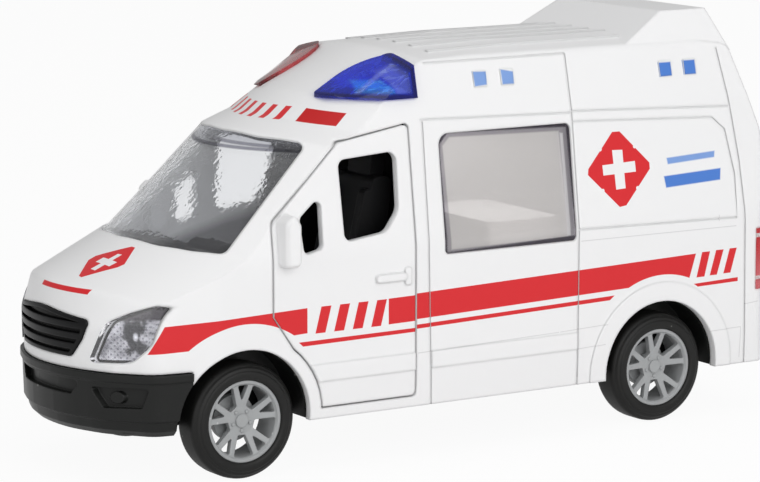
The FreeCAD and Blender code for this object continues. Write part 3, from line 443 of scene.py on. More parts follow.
# Chassis moulding with the front bumper, and the grille.
# Black ABS with a satin skin: the floor is screwed up into the shell from below with the bumper on it,
# and the grille is let into the nose.
CHASSIS_BLACK = (0.009, 0.0095, 0.009, 1)
GRILLE_BLACK = (0.004, 0.004, 0.0045, 1)
BLACK_DUST = (0.20, 0.20, 0.19, 1)
BLACK_EDGE_M = 0.0004


def black_material(name, colour, roughness, grain, shine):
    """Dusty black plastic with the given roughness, grain size and shine."""
    material, tree, shader = start_material(name)
    colour = speckled(tree, colour, BLACK_DUST, spacing=330.0, size=0.07, share=0.10)
    tree.links.new(colour, shader.inputs["Base Color"])
    shader.inputs["Specular IOR Level"].default_value = shine
    finish_surface(tree, shader, roughness=roughness, spread=0.16, grain=grain, bump=0.18, edge=BLACK_EDGE_M)
    return material


dress(["chassis"], black_material("black chassis", CHASSIS_BLACK, roughness=0.36, grain=3200.0, shine=0.26))
dress(["grille"], black_material("black grille", GRILLE_BLACK, roughness=0.34, grain=3800.0, shine=0.20))


# Windscreen, side windows and rear windows.
# Clear styrene about 1.6 mm thick, moulded with a faint grey tint and fitted from inside.
# The windscreen is rippled and has a thick band along its top; the side panes are hazy.
SCREEN_TINT = (0.80, 0.81, 0.83, 1)
BAND_TINT = (0.52, 0.53, 0.57, 1)
BAND_LINE = (0.10, 0.10, 0.13, 1)
SCREEN_RIM = (0.93, 0.94, 0.96, 1)
# Painted shade at the foot of the windscreen's near half, standing for the dark cab behind it.
SCREEN_FOOT_SHADE = (0.26, 0.26, 0.28, 1)
BAND_FOOT_MM = 62.9
BAND_LINE_MM = 62.6
BAND_LINE_HALF_MM = 0.32
SCREEN_RIM_MM = 21.5
SCREEN_RIM_SHARE, SCREEN_FOOT_SHADE_SHARE = 0.4, 0.75
SCREEN_FOOT_SHADE_MM = [(2.0, 40.0), (26.0, 40.0), (26.0, 56.0), (19.0, 51.0), (8.0, 47.5)]
SIDE_HAZE = (0.74, 0.72, 0.72, 1)
SIDE_PANE = (0.75, 0.73, 0.72, 1)
SIDE_BORDER = (0.42, 0.40, 0.43, 1)
SIDE_EDGE = (0.07, 0.06, 0.08, 1)
# Painted highlight along the rear step of the side panes.
SIDE_STEP_HIGHLIGHT = (0.93, 0.92, 0.93, 1)
SIDE_PANE_MM = [(3.1, 61.9), (1.4, 63.5), (-25.3, 62.9), (-26.1, 41.4), (2.5, 41.2)]
SIDE_OPENING_MM = [(4.2, 62.4), (1.7, 64.7), (-27.5, 63.9), (-28.2, 41.2), (3.8, 40.4)]
SIDE_EDGE_MM = 0.30
SIDE_STEP_HIGHLIGHT_MM = [(-25.6, 62.5), (-26.3, 62.4), (-26.7, 41.6), (-25.9, 41.6)]
REAR_PANE = (0.80, 0.79, 0.79, 1)
REAR_BORDER = (0.44, 0.42, 0.45, 1)
REAR_EDGE = (0.12, 0.11, 0.13, 1)
REAR_PANE_MM = [(3.0, 42.0), (20.3, 42.0), (19.2, 60.0), (3.0, 60.0)]
REAR_BORDER_MM = 1.5
REAR_EDGE_MM = 0.35


def blended(tree, factor, first, second):
    """The first shader where the factor is nought and the second where it is one."""
    node = tree.nodes.new("ShaderNodeMixShader")
    for value, socket in zip((factor, first, second), node.inputs):
        tree.links.new(value, socket)
    return node.outputs[0]


def let_lamps_through(tree, shader, tint):
    """Lamp rays pass the clear plastic, so that what lies behind it is lit."""
    rays = tree.nodes.new("ShaderNodeLightPath")
    open_way = tree.nodes.new("ShaderNodeBsdfTransparent")
    open_way.inputs["Color"].default_value = tint
    surface = blended(tree, rays.outputs["Is Shadow Ray"], shader.outputs[0], open_way.outputs[0])
    tree.links.new(surface, tree.nodes["Material Output"].inputs["Surface"])


def clear_material(name, tint, clarity, wobble, ripple=900.0):
    """Clear plastic: the share called clarity passes straight through and the rest shows as haze."""
    material, tree, shader = start_material(name)
    shader.inputs["Base Color"].default_value = tint
    shader.inputs["Transmission Weight"].default_value = clarity
    shader.inputs["IOR"].default_value = 1.45
    finish_surface(tree, shader, roughness=0.045, spread=0.06, grain=ripple, bump=wobble)
    let_lamps_through(tree, shader, tint)
    return material, tree, shader


def windscreen_material():
    """Hazy clear plastic with the thick moulded band along its top edge, a dark line under the band and
    painted shade at the foot of its near half.
    """
    material, tree, shader = clear_material(
        "windscreen clear", SCREEN_TINT, clarity=0.94, wobble=1.0, ripple=760.0
    )
    _, y, z = millimetres(tree)
    band = crisp(tree, maths(tree, "SUBTRACT", z, BAND_FOOT_MM), softness=0.5)
    off_line = maths(tree, "ABSOLUTE", maths(tree, "SUBTRACT", z, BAND_LINE_MM))
    line = crisp(tree, maths(tree, "SUBTRACT", BAND_LINE_HALF_MM, off_line), softness=0.25)
    colour = mix_colour(tree, band, SCREEN_TINT, BAND_TINT)
    colour = mix_colour(tree, line, colour, BAND_LINE)
    rim = crisp(tree, maths(tree, "SUBTRACT", maths(tree, "ABSOLUTE", y), SCREEN_RIM_MM), softness=1.2)
    colour = mix_colour(tree, maths(tree, "MULTIPLY", rim, SCREEN_RIM_SHARE), colour, SCREEN_RIM)
    # Painted shade: the foot of the near half is tinted dark, for the dark cab seen through it.
    foot = crisp(tree, inside(tree, flat_place(tree, y, z), SCREEN_FOOT_SHADE_MM), softness=3.0)
    colour = mix_colour(tree, maths(tree, "MULTIPLY", foot, SCREEN_FOOT_SHADE_SHARE), colour, SCREEN_FOOT_SHADE)
    tree.links.new(colour, shader.inputs["Base Color"])
    shader.inputs["Specular IOR Level"].default_value = 0.36
    return material


def rear_window_material():
    """Clear pane with a grey moulded border, by its distance from the edge in y and height."""
    material, tree, shader = clear_material("rear window clear", REAR_PANE, clarity=0.86, wobble=0.06)
    _, y, z = millimetres(tree)
    place = flat_place(tree, maths(tree, "ABSOLUTE", y), z)
    depth = inside(tree, place, REAR_PANE_MM)
    pane = crisp(tree, maths(tree, "SUBTRACT", depth, REAR_BORDER_MM), softness=0.4)
    edge = crisp(tree, maths(tree, "SUBTRACT", REAR_EDGE_MM, depth), softness=0.3)
    colour = mix_colour(tree, edge, mix_colour(tree, pane, REAR_BORDER, REAR_PANE), REAR_EDGE)
    tree.links.new(colour, shader.inputs["Base Color"])
    return material


def window_material():
    """Hazy pane with a stepped grey border, darkest at its edge, and a painted highlight along its rear
    step.
    """
    material, tree, shader = clear_material("window clear", SIDE_HAZE, clarity=0.62, wobble=0.06)
    x, _, z = millimetres(tree)
    place = flat_place(tree, x, z)
    pane = crisp(tree, inside(tree, place, SIDE_PANE_MM), softness=0.35)
    opening = inside(tree, place, SIDE_OPENING_MM)
    edge = crisp(tree, maths(tree, "SUBTRACT", SIDE_EDGE_MM, opening), softness=0.3)
    colour = mix_colour(tree, edge, mix_colour(tree, pane, SIDE_BORDER, SIDE_PANE), SIDE_EDGE)
    # Painted highlight: a light line along the rear step of the pane.
    step_highlight = crisp(tree, inside(tree, place, SIDE_STEP_HIGHLIGHT_MM), softness=0.3)
    colour = mix_colour(tree, step_highlight, colour, SIDE_STEP_HIGHLIGHT)
    tree.links.new(colour, shader.inputs["Base Color"])
    return material


dress(["windscreen"], windscreen_material())
dress(["side_window_left", "side_window_right"], window_material())
dress(["rear_window_left", "rear_window_right"], rear_window_material())


# The shade in the flutes, in the bulb socket and along the upper edge, and the highlight in the socket's
# middle, are painted on the bowl.
# Headlamps.
# A clear styrene cover over an ABS bowl, vacuum plated and moulded with small flutes round the bulb.
# Both are pressed into the shell from behind.
LENS_TINT = (0.96, 0.96, 0.98, 1)
PLATING = (0.62, 0.62, 0.65, 1)
PLATING_DULL = (0.20, 0.20, 0.22, 1)
# Painted shade for the flutes, the bulb socket and the upper edge, and a painted highlight in the socket's
# middle.
FLUTE_PAINTED_SHADE = (0.10, 0.10, 0.12, 1)
SOCKET_PAINTED_SHADE = (0.03, 0.03, 0.035, 1)
BULB_HIGHLIGHT_PALE = (0.85, 0.86, 0.9, 1)
SHADE_DARK = (0.02, 0.014, 0.022, 1)
PATCH_SCALE = 420.0
SOCKET_MM = (20.9, 29.6)
SOCKET_SQUEEZE = 0.5
SOCKET_RAGGED_MM, SOCKET_INSET_MM = 5.0, -0.95
BULB_HIGHLIGHT_RADIUS_MM = 0.32
FLUTES_PER_MM = (6.5, 5.5)
FLUTE_DEPTH_M = 0.0003
FLUTE_SHADE_SHARE = 0.7
SHADE_MM = [(18.4, 33.2), (25.9, 37.4), (26.0, 33.6), (23.0, 32.9), (19.2, 32.2)]


def reflector_material():
    """Bright mottled plating with painted shade in its rows of flutes, a tall patch of painted shade for the
    bulb socket with a painted highlight in its middle, and painted shade along its upper edge.

    The socket's radius follows a noise, so that its edge is ragged. The flutes are where the product of
    two sines, one across and one up, is high.
    """
    material, tree, shader = start_material("plated reflector")
    _, y, z = millimetres(tree)
    across = maths(tree, "ABSOLUTE", y)
    patches = tree.nodes.new("ShaderNodeTexNoise")
    patches.inputs["Scale"].default_value = PATCH_SCALE
    patches.inputs["Detail"].default_value = 3.0
    tree.links.new(tree.nodes.new("ShaderNodeTexCoord").outputs["Object"], patches.inputs["Vector"])
    squeezed = flat_place(tree, across, maths(tree, "MULTIPLY", z, SOCKET_SQUEEZE))
    centre = (SOCKET_MM[0], SOCKET_MM[1] * SOCKET_SQUEEZE, 1.0)
    off_socket = vector_maths(tree, "DISTANCE", squeezed, centre)
    ragged = maths(tree, "MULTIPLY_ADD", patches.outputs[0], SOCKET_RAGGED_MM, SOCKET_INSET_MM)
    # Painted shade: a ragged dark patch where the bulb socket is.
    socket = crisp(tree, maths(tree, "SUBTRACT", ragged, off_socket), softness=0.7)
    # Painted highlight: a small pale spot in the middle of the socket.
    bulb_highlight = crisp(tree, maths(tree, "SUBTRACT", BULB_HIGHLIGHT_RADIUS_MM, off_socket), softness=0.4)
    columns = maths(tree, "SINE", maths(tree, "MULTIPLY", y, FLUTES_PER_MM[0]))
    rows = maths(tree, "SINE", maths(tree, "MULTIPLY", z, FLUTES_PER_MM[1]))
    flutes = crisp(tree, maths(tree, "SUBTRACT", maths(tree, "MULTIPLY", columns, rows), 0.5), softness=0.5)
    mottled = maths(tree, "MULTIPLY_ADD", patches.outputs[0], 3.2, -1.1, clamp=True)
    colour = mix_colour(tree, mottled, PLATING, PLATING_DULL)
    # Painted shade in the flutes, on top of their bump.
    colour = mix_colour(tree, maths(tree, "MULTIPLY", flutes, FLUTE_SHADE_SHARE), colour, FLUTE_PAINTED_SHADE)
    colour = mix_colour(tree, socket, colour, SOCKET_PAINTED_SHADE)
    colour = mix_colour(tree, bulb_highlight, colour, BULB_HIGHLIGHT_PALE)
    # Painted shade along the upper edge of the bowl.
    shade = crisp(tree, inside(tree, flat_place(tree, across, z), SHADE_MM), softness=0.5)
    colour = mix_colour(tree, shade, colour, SHADE_DARK)
    tree.links.new(colour, shader.inputs["Base Color"])
    shader.inputs["Metallic"].default_value = 0.6
    relief = tree.nodes.new("ShaderNodeBump")
    relief.inputs["Strength"].default_value = 0.45
    relief.inputs["Distance"].default_value = FLUTE_DEPTH_M
    tree.links.new(flutes, relief.inputs["Height"])
    tree.links.new(relief.outputs[0], shader.inputs["Normal"])
    rough = maths(tree, "MULTIPLY_ADD", patches.outputs[0], 0.25, 0.2)
    tree.links.new(rough, shader.inputs["Roughness"])
    return material


HEADLAMP_CLEAR, _, lens_shader = clear_material("headlamp clear", LENS_TINT, clarity=0.98, wobble=0.05)
lens_shader.inputs["Specular IOR Level"].default_value = 0.3
dress(["headlamp_lens_left", "headlamp_lens_right"], HEADLAMP_CLEAR)
dress(["headlamp_reflector_left", "headlamp_reflector_right"], reflector_material())


# Roof and tail lamps.
# See-through blue and red styrene, moulded hollow with facets; the light caught along their ridges is
# painted on as a highlight.
# They are glued into pockets of the shell.
BLUE_LENS = {
    "body": (0.018, 0.05, 0.62, 1), "foot": (0.05, 0.34, 0.95, 1), "back": (0.16, 0.22, 0.78, 1),
    "edge": (0.01, 0.015, 0.26, 1), "glint": (0.45, 0.55, 0.95, 1),
}
RED_LENS = {
    "body": (0.46, 0.05, 0.06, 1), "foot": (0.58, 0.10, 0.10, 1), "back": (0.55, 0.10, 0.11, 1),
    "edge": (0.22, 0.015, 0.02, 1), "glint": (0.75, 0.25, 0.25, 1),
}
PALE_FOOT_MM = [(19.4, 72.9), (18.2, 74.9), (14.4, 75.3), (13.6, 72.9)]
REAR_WALL_MM = [(13.4, 72.9), (13.8, 76.6), (10.2, 78.0), (9.9, 72.9)]
LOWER_RIDGE_MM = [(20.7, 72.2), (14.35, 75.95), (14.1, 75.7), (20.3, 72.0)]
UPPER_RIDGE_MM = [(14.35, 75.95), (10.3, 78.1), (10.1, 77.85), (14.1, 75.7)]
LAMP_FOOT_MM = 72.75
LAMP_REAR_MM = 9.6
GLINT_SHARE = 0.7
TAIL_RED = (0.65, 0.02, 0.03, 1)
TAIL_LOW_RED = (0.72, 0.16, 0.18, 1)
TAIL_HIGH_RED = (0.62, 0.02, 0.03, 1)
TAIL_BAR = (0.80, 0.78, 0.78, 1)
TAIL_BARS_MM = {37.5: 0.45, 28.4: 0.4}
TAIL_FADE_TOP_MM = 35.0
TAIL_FADE_PER_MM = 0.16


def lamp_material(name, colour, clarity):
    """Tinted see-through plastic with a near mirror-smooth skin."""
    material, tree, shader = start_material(name)
    shader.inputs["Base Color"].default_value = colour
    shader.inputs["Transmission Weight"].default_value = clarity
    shader.inputs["IOR"].default_value = 1.5
    finish_surface(tree, shader, roughness=0.06, spread=0.04, grain=300.0, bump=0.004)
    let_lamps_through(tree, shader, colour)
    return material, tree, shader


def roof_lamp_material(name, body, foot, back, edge, glint):
    """Tinted lens, deep at its rim and paler where the bright socket and the rear wall show through, with a
    painted highlight along its two ridges.
    """
    material, tree, shader = lamp_material(name, body, clarity=0.72)
    x, _, z = millimetres(tree)
    place = flat_place(tree, x, z)
    pale = crisp(tree, inside(tree, place, PALE_FOOT_MM), softness=0.5)
    rear = crisp(tree, inside(tree, place, REAR_WALL_MM), softness=0.5)
    ridges = [inside(tree, place, outline) for outline in (LOWER_RIDGE_MM, UPPER_RIDGE_MM)]
    ridge = crisp(tree, union(tree, ridges), softness=0.2)
    low = crisp(tree, maths(tree, "SUBTRACT", LAMP_FOOT_MM, z), softness=0.5)
    far = crisp(tree, maths(tree, "SUBTRACT", LAMP_REAR_MM, x), softness=0.5)
    colour = mix_colour(tree, pale, body, foot)
    colour = mix_colour(tree, rear, colour, back)
    # Painted highlight along the two ridges.
    colour = mix_colour(tree, maths(tree, "MULTIPLY", ridge, GLINT_SHARE), colour, glint)
    colour = mix_colour(tree, maths(tree, "MAXIMUM", low, far), colour, edge)
    tree.links.new(colour, shader.inputs["Base Color"])
    return material


def tail_lamp_material():
    """Red lens in three fields, parted by two pale bars, and paler below the top of its fade."""
    material, tree, shader = lamp_material("tail lamp", TAIL_RED, clarity=0.4)
    _, _, z = millimetres(tree)
    depths = []
    for height, half in TAIL_BARS_MM.items():
        off = maths(tree, "ABSOLUTE", maths(tree, "SUBTRACT", z, height))
        depths.append(maths(tree, "SUBTRACT", half, off))
    bars = crisp(tree, union(tree, depths), softness=0.15)
    start = TAIL_FADE_TOP_MM * TAIL_FADE_PER_MM
    fade = maths(tree, "MULTIPLY_ADD", z, -TAIL_FADE_PER_MM, start, clamp=True)
    colour = mix_colour(tree, fade, TAIL_HIGH_RED, TAIL_LOW_RED)
    tree.links.new(mix_colour(tree, bars, colour, TAIL_BAR), shader.inputs["Base Color"])
    return material


dress(["roof_lamp_blue"], roof_lamp_material("blue lamp", **BLUE_LENS))
dress(["roof_lamp_red"], roof_lamp_material("red lamp", **RED_LENS))
dress(["tail_lamp_left", "tail_lamp_right"], tail_lamp_material())


# Tyres.
# Soft black rubber rings, moulded slick with a stepped sidewall and a bead.
# They are stretched over the rims.
TYRE_PROFILE_MM = [
    (8.1, -1.2), (8.12, -0.45), (8.35, -0.15), (8.8, -0.05), (9.7, -0.02), (9.88, -0.10),
    (9.98, -0.30), (10.1, -0.35), (10.42, -0.38), (10.58, -0.48), (10.68, -0.74), (10.9, -0.92),
    (11.2, -1.12), (11.42, -1.5), (11.5, -2.1), (11.5, -5.6), (11.42, -6.3), (11.1, -7.0),
    (10.4, -7.5), (9.4, -7.59), (8.6, -7.5), (8.1, -7.0),
]
TYRE_SEGMENTS = 96
RUBBER_BLACK = (0.0085, 0.0085, 0.008, 1)
RUBBER_DUST = (0.12, 0.12, 0.11, 1)
AXLE_HEIGHT_MM = 11.5
WHEEL_FACE_MM = 26.5
SIDES = {"left": 1, "right": -1}
AXLES = {"front": 50.0 - FRAME_SHIFT_MM, "rear": -50.0 - FRAME_SHIFT_MM}


def mesh_piece(name, points, faces, material, smooth=True):
    """A mesh object from points in metres and lists of point numbers, with one material."""
    mesh = bpy.data.meshes.new(name)
    mesh.from_pydata(np.asarray(points).tolist(), [], faces)
    mesh.materials.append(material)
    mesh.polygons.foreach_set("use_smooth", np.full(len(mesh.polygons), smooth))
    mesh.update()
    piece = bpy.data.objects.new(name, mesh)
    bpy.context.scene.collection.objects.link(piece)
    return piece


def ring_faces(rows, columns, close_rows):
    """Quads between the rows and columns of a grid whose columns close on themselves."""
    row = np.arange(rows if close_rows else rows - 1)
    a, b = np.meshgrid(row, np.arange(columns), indexing="ij")
    a, b = a.ravel(), b.ravel()
    a1, b1 = (a + 1) % rows, (b + 1) % columns
    quads = [a * columns + b, a * columns + b1, a1 * columns + b1, a1 * columns + b]
    return np.stack(quads, axis=1).tolist()


def turned_ring(profile, segments, centre_x, side):
    """Points of a ring: each profile point (radius, depth) goes round the axle at its own radius."""
    profile = np.array(profile)
    angle = np.linspace(0, 2 * np.pi, segments, endpoint=False)
    radius, depth = profile[:, :1], profile[:, 1:]
    x = centre_x + radius * np.cos(angle)
    z = AXLE_HEIGHT_MM + radius * np.sin(angle)
    y = side * (WHEEL_FACE_MM + depth) + np.zeros_like(angle)
    return np.stack([x, y, z], axis=-1).reshape(-1, 3) / 1000


def rubber_material():
    """Soft matt black with a little dust on it."""
    material, tree, shader = start_material("tyre rubber")
    colour = speckled(tree, RUBBER_BLACK, RUBBER_DUST, spacing=420.0, size=0.09, share=0.06)
    tree.links.new(colour, shader.inputs["Base Color"])
    shader.inputs["Specular IOR Level"].default_value = 0.28
    finish_surface(tree, shader, roughness=0.46, spread=0.18, grain=3000.0, bump=0.25)
    return material


RUBBER = rubber_material()
for end, axle_x in AXLES.items():
    for label, side in SIDES.items():
        points = turned_ring(TYRE_PROFILE_MM, TYRE_SEGMENTS, axle_x, side)
        faces = ring_faces(len(TYRE_PROFILE_MM), TYRE_SEGMENTS, True)
        faces = [face[::-1] for face in faces] if side > 0 else faces
        tyre = mesh_piece(f"rubber_tyre_{end}_{label}", points, faces, RUBBER)
        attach(tyre, end + "_wheels")
        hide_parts(f"tyre_{end}_{label}")


# Wheel rims, their bolt heads and the axles.
# Grey ABS rims with twin spokes, the bolt heads moulded on, pressed on the ends of plain steel pins.
RIM_GREY = (0.35, 0.36, 0.365, 1)
RIM_WEAR = (0.48, 0.49, 0.49, 1)
RIM_EDGE_M = 0.0003
STEEL = (0.55, 0.55, 0.56, 1)
BOLT_PROFILE_MM = [(0, -0.3), (0.40, -0.3), (0.40, 0.10), (0.36, 0.20), (0.22, 0.26), (0, 0.27)]
BOLT_SEGMENTS = 12
BOLT_COUNT = 5
BOLT_FIRST_DEGREES = 126
BOLT_CIRCLE_MM = 2.02
HUB_FACE_MM = 25.0
BOLT_SINK_MM = 0.35


def grey_material():
    """Satin grey plastic with light worn specks."""
    material, tree, shader = start_material("grey rim")
    colour = speckled(tree, RIM_GREY, RIM_WEAR, spacing=500.0, size=0.12, share=0.08)
    tree.links.new(colour, shader.inputs["Base Color"])
    finish_surface(tree, shader, roughness=0.26, spread=0.12, grain=2400.0, bump=0.15, edge=RIM_EDGE_M)
    return material


def steel_material():
    """Plain drawn steel."""
    material, tree, shader = start_material("axle steel")
    shader.inputs["Base Color"].default_value = STEEL
    shader.inputs["Metallic"].default_value = 1.0
    finish_surface(tree, shader, roughness=0.28, spread=0.15, grain=5000.0, bump=0.1)
    return material


def capped_faces(rows, columns):
    """Faces of a row of rings with a fan on each end; the two poles come after the rings' points."""
    turn = np.arange(columns)
    after = (turn + 1) % columns
    last = (rows - 1) * columns
    first_fan = np.stack([np.full(columns, rows * columns), after, turn], axis=1)
    last_fan = np.stack([np.full(columns, rows * columns + 1), last + turn, last + after], axis=1)
    return ring_faces(rows, columns, False) + first_fan.tolist() + last_fan.tolist()


def joined(parts):
    """One array of points and one list of faces from several pairs of them."""
    points, faces, start = [], [], 0
    for more, rings in parts:
        faces += [[i + start for i in face] for face in rings]
        points.append(more)
        start += len(more)
    return np.concatenate(points), faces


def stud(profile, segments, centre, side):
    """A closed turned stud: each (radius, height) goes round an axis along y, with a pole at each end."""
    profile = np.array(profile, float)
    angle = np.linspace(0, 2 * np.pi, segments, endpoint=False)
    middle = profile[1:-1]
    x = centre[0] + middle[:, :1] * np.cos(angle)
    z = centre[2] + middle[:, :1] * np.sin(angle)
    y = centre[1] + side * middle[:, 1:] + np.zeros_like(angle)
    rings = np.stack([x, y, z], axis=-1).reshape(-1, 3)
    poles = np.array([[centre[0], centre[1] + side * profile[i, 1], centre[2]] for i in (0, -1)])
    faces = capped_faces(len(middle), segments)
    return np.concatenate([rings, poles]) / 1000, faces if side < 0 else [face[::-1] for face in faces]


GREY = grey_material()
for end, axle_x in AXLES.items():
    for label, side in SIDES.items():
        studs = []
        for turn in np.radians(BOLT_FIRST_DEGREES + 360 / BOLT_COUNT * np.arange(BOLT_COUNT)):
            x = axle_x + BOLT_CIRCLE_MM * math.cos(turn)
            z = AXLE_HEIGHT_MM + BOLT_CIRCLE_MM * math.sin(turn)
            centre = (x, side * (HUB_FACE_MM - BOLT_SINK_MM), z)
            studs.append(stud(BOLT_PROFILE_MM, BOLT_SEGMENTS, centre, side))
        bolts = mesh_piece(f"wheel_bolts_{end}_{label}", *joined(studs), GREY)
        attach(bolts, end + "_wheels")
dress([f"rim_{end}_{label}" for end in AXLES for label in SIDES], GREY)
dress(["axle_front", "axle_rear"], steel_material())


# Cab inside: floor, seats, dashboard and steering wheel.
# Black styrene mouldings with a matt skin, clipped together and held on the chassis posts.
CAB_BLACK = (0.005, 0.005, 0.0055, 1)
CAB_PIECES = ["cab_tub", "seat_left", "seat_right", "dashboard", "steering_wheel"]
dress(CAB_PIECES, black_material("cab black", CAB_BLACK, roughness=0.55, grain=3000.0, shine=0.15))


# Screws under the chassis.
# Four zinc plated self-tapping screws with a domed head and a cross recess, driven up into the posts
# that hold the chassis to the shell; each head sits in a round counterbore.
SCREW_HEAD_RADIUS_MM = 1.6
SCREW_SEAT_MM = 11.46
SCREW_DOME_MM = 0.42
SCREW_SKIRT_MM = 0.30
SCREW_RINGS = 30
SCREW_SEGMENTS = 96
CROSS_HALF_WIDTH_MM = 0.20
CROSS_REACH_MM = 0.95
CROSS_DEPTH_MM = 0.42
CROSS_SIDE_SLOPE_MM = 0.1
CROSS_END_SLOPE_MM = 0.12
SCREW_CENTRES_MM = [(x - FRAME_SHIFT_MM, y) for x in (29.7, -69.3) for y in (12.7, -12.7)]
ZINC = (0.46, 0.46, 0.47, 1)
ZINC_DULL = (0.25, 0.25, 0.25, 1)


def screw_head(centre, rings, segments):
    """Head whose dome falls with the square of the radius, less a cross with sloped walls; flat back."""
    angle = np.linspace(0, 2 * np.pi, segments, endpoint=False)
    radius = np.linspace(0, 1, rings)[1:, None] * SCREW_HEAD_RADIUS_MM
    u, v = radius * np.cos(angle), radius * np.sin(angle)
    dome = SCREW_SKIRT_MM + SCREW_DOME_MM * (1 - (radius / SCREW_HEAD_RADIUS_MM) ** 2) + 0 * angle
    along, beside = np.maximum(abs(u), abs(v)), np.minimum(abs(u), abs(v))
    side_wall = (CROSS_HALF_WIDTH_MM + CROSS_SIDE_SLOPE_MM / 2 - beside) / CROSS_SIDE_SLOPE_MM
    end_wall = (CROSS_REACH_MM - along) / CROSS_END_SLOPE_MM
    depth = dome - CROSS_DEPTH_MM * np.clip(side_wall, 0, 1) * np.clip(end_wall, 0, 1)
    top = np.stack([u, v, depth], axis=-1)
    back = np.stack([u[-1:], v[-1:], np.zeros((1, segments))], axis=-1)
    grid = np.concatenate([top, back]).reshape(-1, 3)
    poles = np.array([[0, 0, SCREW_SKIRT_MM + SCREW_DOME_MM - CROSS_DEPTH_MM], [0, 0, 0]])
    a, b, below = np.concatenate([grid, poles]).T
    points = np.stack([a + centre[0], b + centre[1], SCREW_SEAT_MM - below], axis=1)
    return points / 1000, capped_faces(rings, segments)


def zinc_material():
    """Bright zinc plating with dull worn specks."""
    material, tree, shader = start_material("zinc plated screw")
    colour = speckled(tree, ZINC, ZINC_DULL, spacing=900.0, size=0.15, share=0.12)
    tree.links.new(colour, shader.inputs["Base Color"])
    shader.inputs["Metallic"].default_value = 1.0
    finish_surface(tree, shader, roughness=0.34, spread=0.16, grain=5200.0, bump=0.12)
    return material


heads = [screw_head(centre, SCREW_RINGS, SCREW_SEGMENTS) for centre in SCREW_CENTRES_MM]
screws = mesh_piece("chassis_screws", *joined(heads), zinc_material(), smooth=False)
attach(screws, "body")


# Cell box and pull-back motor.
# Plain white and cream mouldings on the chassis floor, seen dimly through the side windows.
CELL_BOX_WHITE = (0.78, 0.78, 0.78, 1)
MOTOR_CREAM = (0.62, 0.60, 0.55, 1)
INNER_DUST = (0.5, 0.49, 0.47, 1)


def inner_material(name, colour):
    """Plain dusty plastic with a dull skin."""
    material, tree, shader = start_material(name)
    colour = speckled(tree, colour, INNER_DUST, spacing=300.0, size=0.08, share=0.1)
    tree.links.new(colour, shader.inputs["Base Color"])
    finish_surface(tree, shader, roughness=0.5, spread=0.1, grain=2600.0, bump=0.12)
    return material


dress(["power_box"], inner_material("cell box white", CELL_BOX_WHITE))
dress(["pull_back_motor"], inner_material("motor housing", MOTOR_CREAM))


# Studio, no part of the toy.
# A pale floor and an even white world, three soft lamps on the seen side, and the photo's camera.
# A small lamp inside the load space stands for the light that comes through the thin white shell.
MIDDLE = (0.0, 0.0, 0.04)
SIDE_WATTS, TOP_WATTS, FRONT_WATTS, GLOW_WATTS = 4.95, 1.65, 1.15, 0.012
GLOW_PLACE = (-0.0215, 0.0, 0.073)
GLOW_TARGET = (-0.0215, 0.0001, 0.03)
FLOOR_HALF_M = 4.0
FLOOR_GREY = (0.82, 0.82, 0.82, 1)
FLOOR_OWN_LIGHT = 0.94
FLOOR_IN_GLOSS = 0.5
WORLD_LIGHT = 0.45
WORLD_SEEN_EXTRA = 0.55
SENSOR_MM = 36.0
FOCAL_PX = 3454.38
PHOTO_WIDTH_PX = 760
CAMERA_PLACE = (0.37862, 0.59323, 0.15406)
CAMERA_DOWN_DEGREES = 9.2685
CAMERA_HEADING_DEGREES = -122.4902


def studio_lamp(name, place, target, size, power):
    """An oblong soft lamp, turned by the rise and the heading of the line from its place to the target."""
    lamp = bpy.data.lights.new(name, "AREA")
    lamp.shape = "RECTANGLE"
    lamp.size, lamp.size_y = size
    lamp.energy = power
    holder = bpy.data.objects.new(name, lamp)
    bpy.context.scene.collection.objects.link(holder)
    holder.location = place
    ahead, aside, up = np.array(target) - np.array(place)
    lift = math.atan2(up, math.hypot(ahead, aside))
    holder.rotation_euler = (math.pi / 2 + lift, 0, math.atan2(aside, ahead) - math.pi / 2)
    return holder


def seen_directly(tree, rays):
    """One for rays that come from the camera or through clear plastic, else nought."""
    return maths(tree, "MAXIMUM", rays.outputs["Is Camera Ray"], rays.outputs["Is Transmission Ray"])


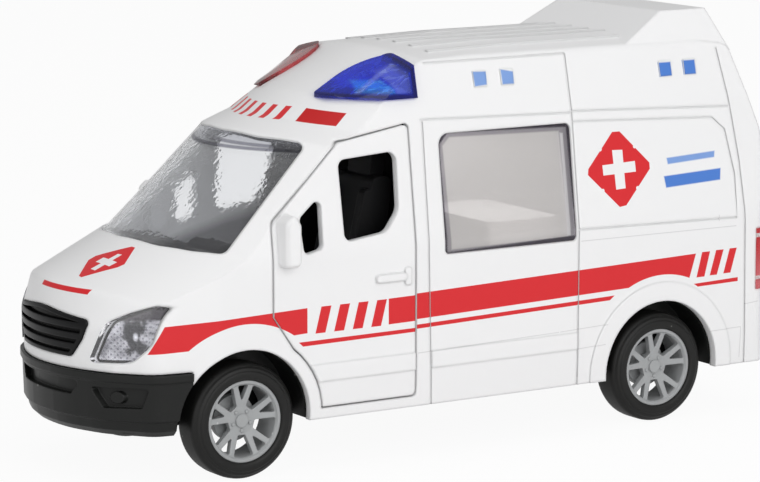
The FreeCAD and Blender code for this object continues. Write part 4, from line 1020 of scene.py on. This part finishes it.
def floor_material():
    """White to the eye, half as bright in reflections, grey to lamps, and see-through from below."""
    material, tree, shader = start_material("pale floor")
    tree.nodes.remove(shader)
    lit = tree.nodes.new("ShaderNodeBsdfDiffuse")
    lit.inputs["Color"].default_value = FLOOR_GREY
    plain = tree.nodes.new("ShaderNodeEmission")
    rays = tree.nodes.new("ShaderNodeLightPath")
    mirrored = maths(tree, "MULTIPLY", rays.outputs["Is Glossy Ray"], FLOOR_IN_GLOSS)
    seen = maths(tree, "MAXIMUM", seen_directly(tree, rays), mirrored)
    own_light = maths(tree, "MULTIPLY", seen, FLOOR_OWN_LIGHT)
    above = blended(tree, own_light, lit.outputs[0], plain.outputs[0])
    back = tree.nodes.new("ShaderNodeNewGeometry").outputs["Backfacing"]
    open_way = tree.nodes.new("ShaderNodeBsdfTransparent").outputs[0]
    surface = blended(tree, back, above, open_way)
    tree.links.new(surface, tree.nodes["Material Output"].inputs["Surface"])
    return material


studio_lamp("side softbox", (0.05, 0.90, 0.40), MIDDLE, (1.0, 0.7), SIDE_WATTS)
studio_lamp("top softbox", (0.0, 0.10, 0.95), MIDDLE, (0.8, 0.8), TOP_WATTS)
studio_lamp("front softbox", (0.85, 0.30, 0.30), MIDDLE, (0.6, 0.5), FRONT_WATTS)
glow = studio_lamp("light through the shell", GLOW_PLACE, GLOW_TARGET, (0.040, 0.030), GLOW_WATTS)
glow.visible_camera = glow.visible_transmission = glow.visible_glossy = False

corners = [(FLOOR_HALF_M * a, FLOOR_HALF_M * b, 0) for a, b in ((-1, -1), (1, -1), (1, 1), (-1, 1))]
floor = mesh_piece("studio_floor", corners, [[0, 1, 2, 3]], floor_material(), smooth=False)

world = bpy.data.worlds.new("studio")
bpy.context.scene.world = world
world.use_nodes = True
tree = world.node_tree
seen = seen_directly(tree, tree.nodes.new("ShaderNodeLightPath"))
background = tree.nodes["Background"]
background.inputs["Color"].default_value = (1, 1, 1, 1)
strength = maths(tree, "MULTIPLY_ADD", seen, WORLD_SEEN_EXTRA, WORLD_LIGHT)
tree.links.new(strength, background.inputs["Strength"])

lens = bpy.data.cameras.new("photo camera")
lens.sensor_width = SENSOR_MM
lens.lens = SENSOR_MM * FOCAL_PX / PHOTO_WIDTH_PX
lens.clip_start, lens.clip_end = 0.01, 20
camera = bpy.data.objects.new("photo camera", lens)
bpy.context.scene.collection.objects.link(camera)
camera.location = CAMERA_PLACE
tilt = math.radians(90 - CAMERA_DOWN_DEGREES)
turn = math.radians(CAMERA_HEADING_DEGREES - 90)
camera.rotation_euler = (tilt, 0, turn)
bpy.context.scene.camera = camera
bpy.context.scene.view_settings.view_transform = "Standard"
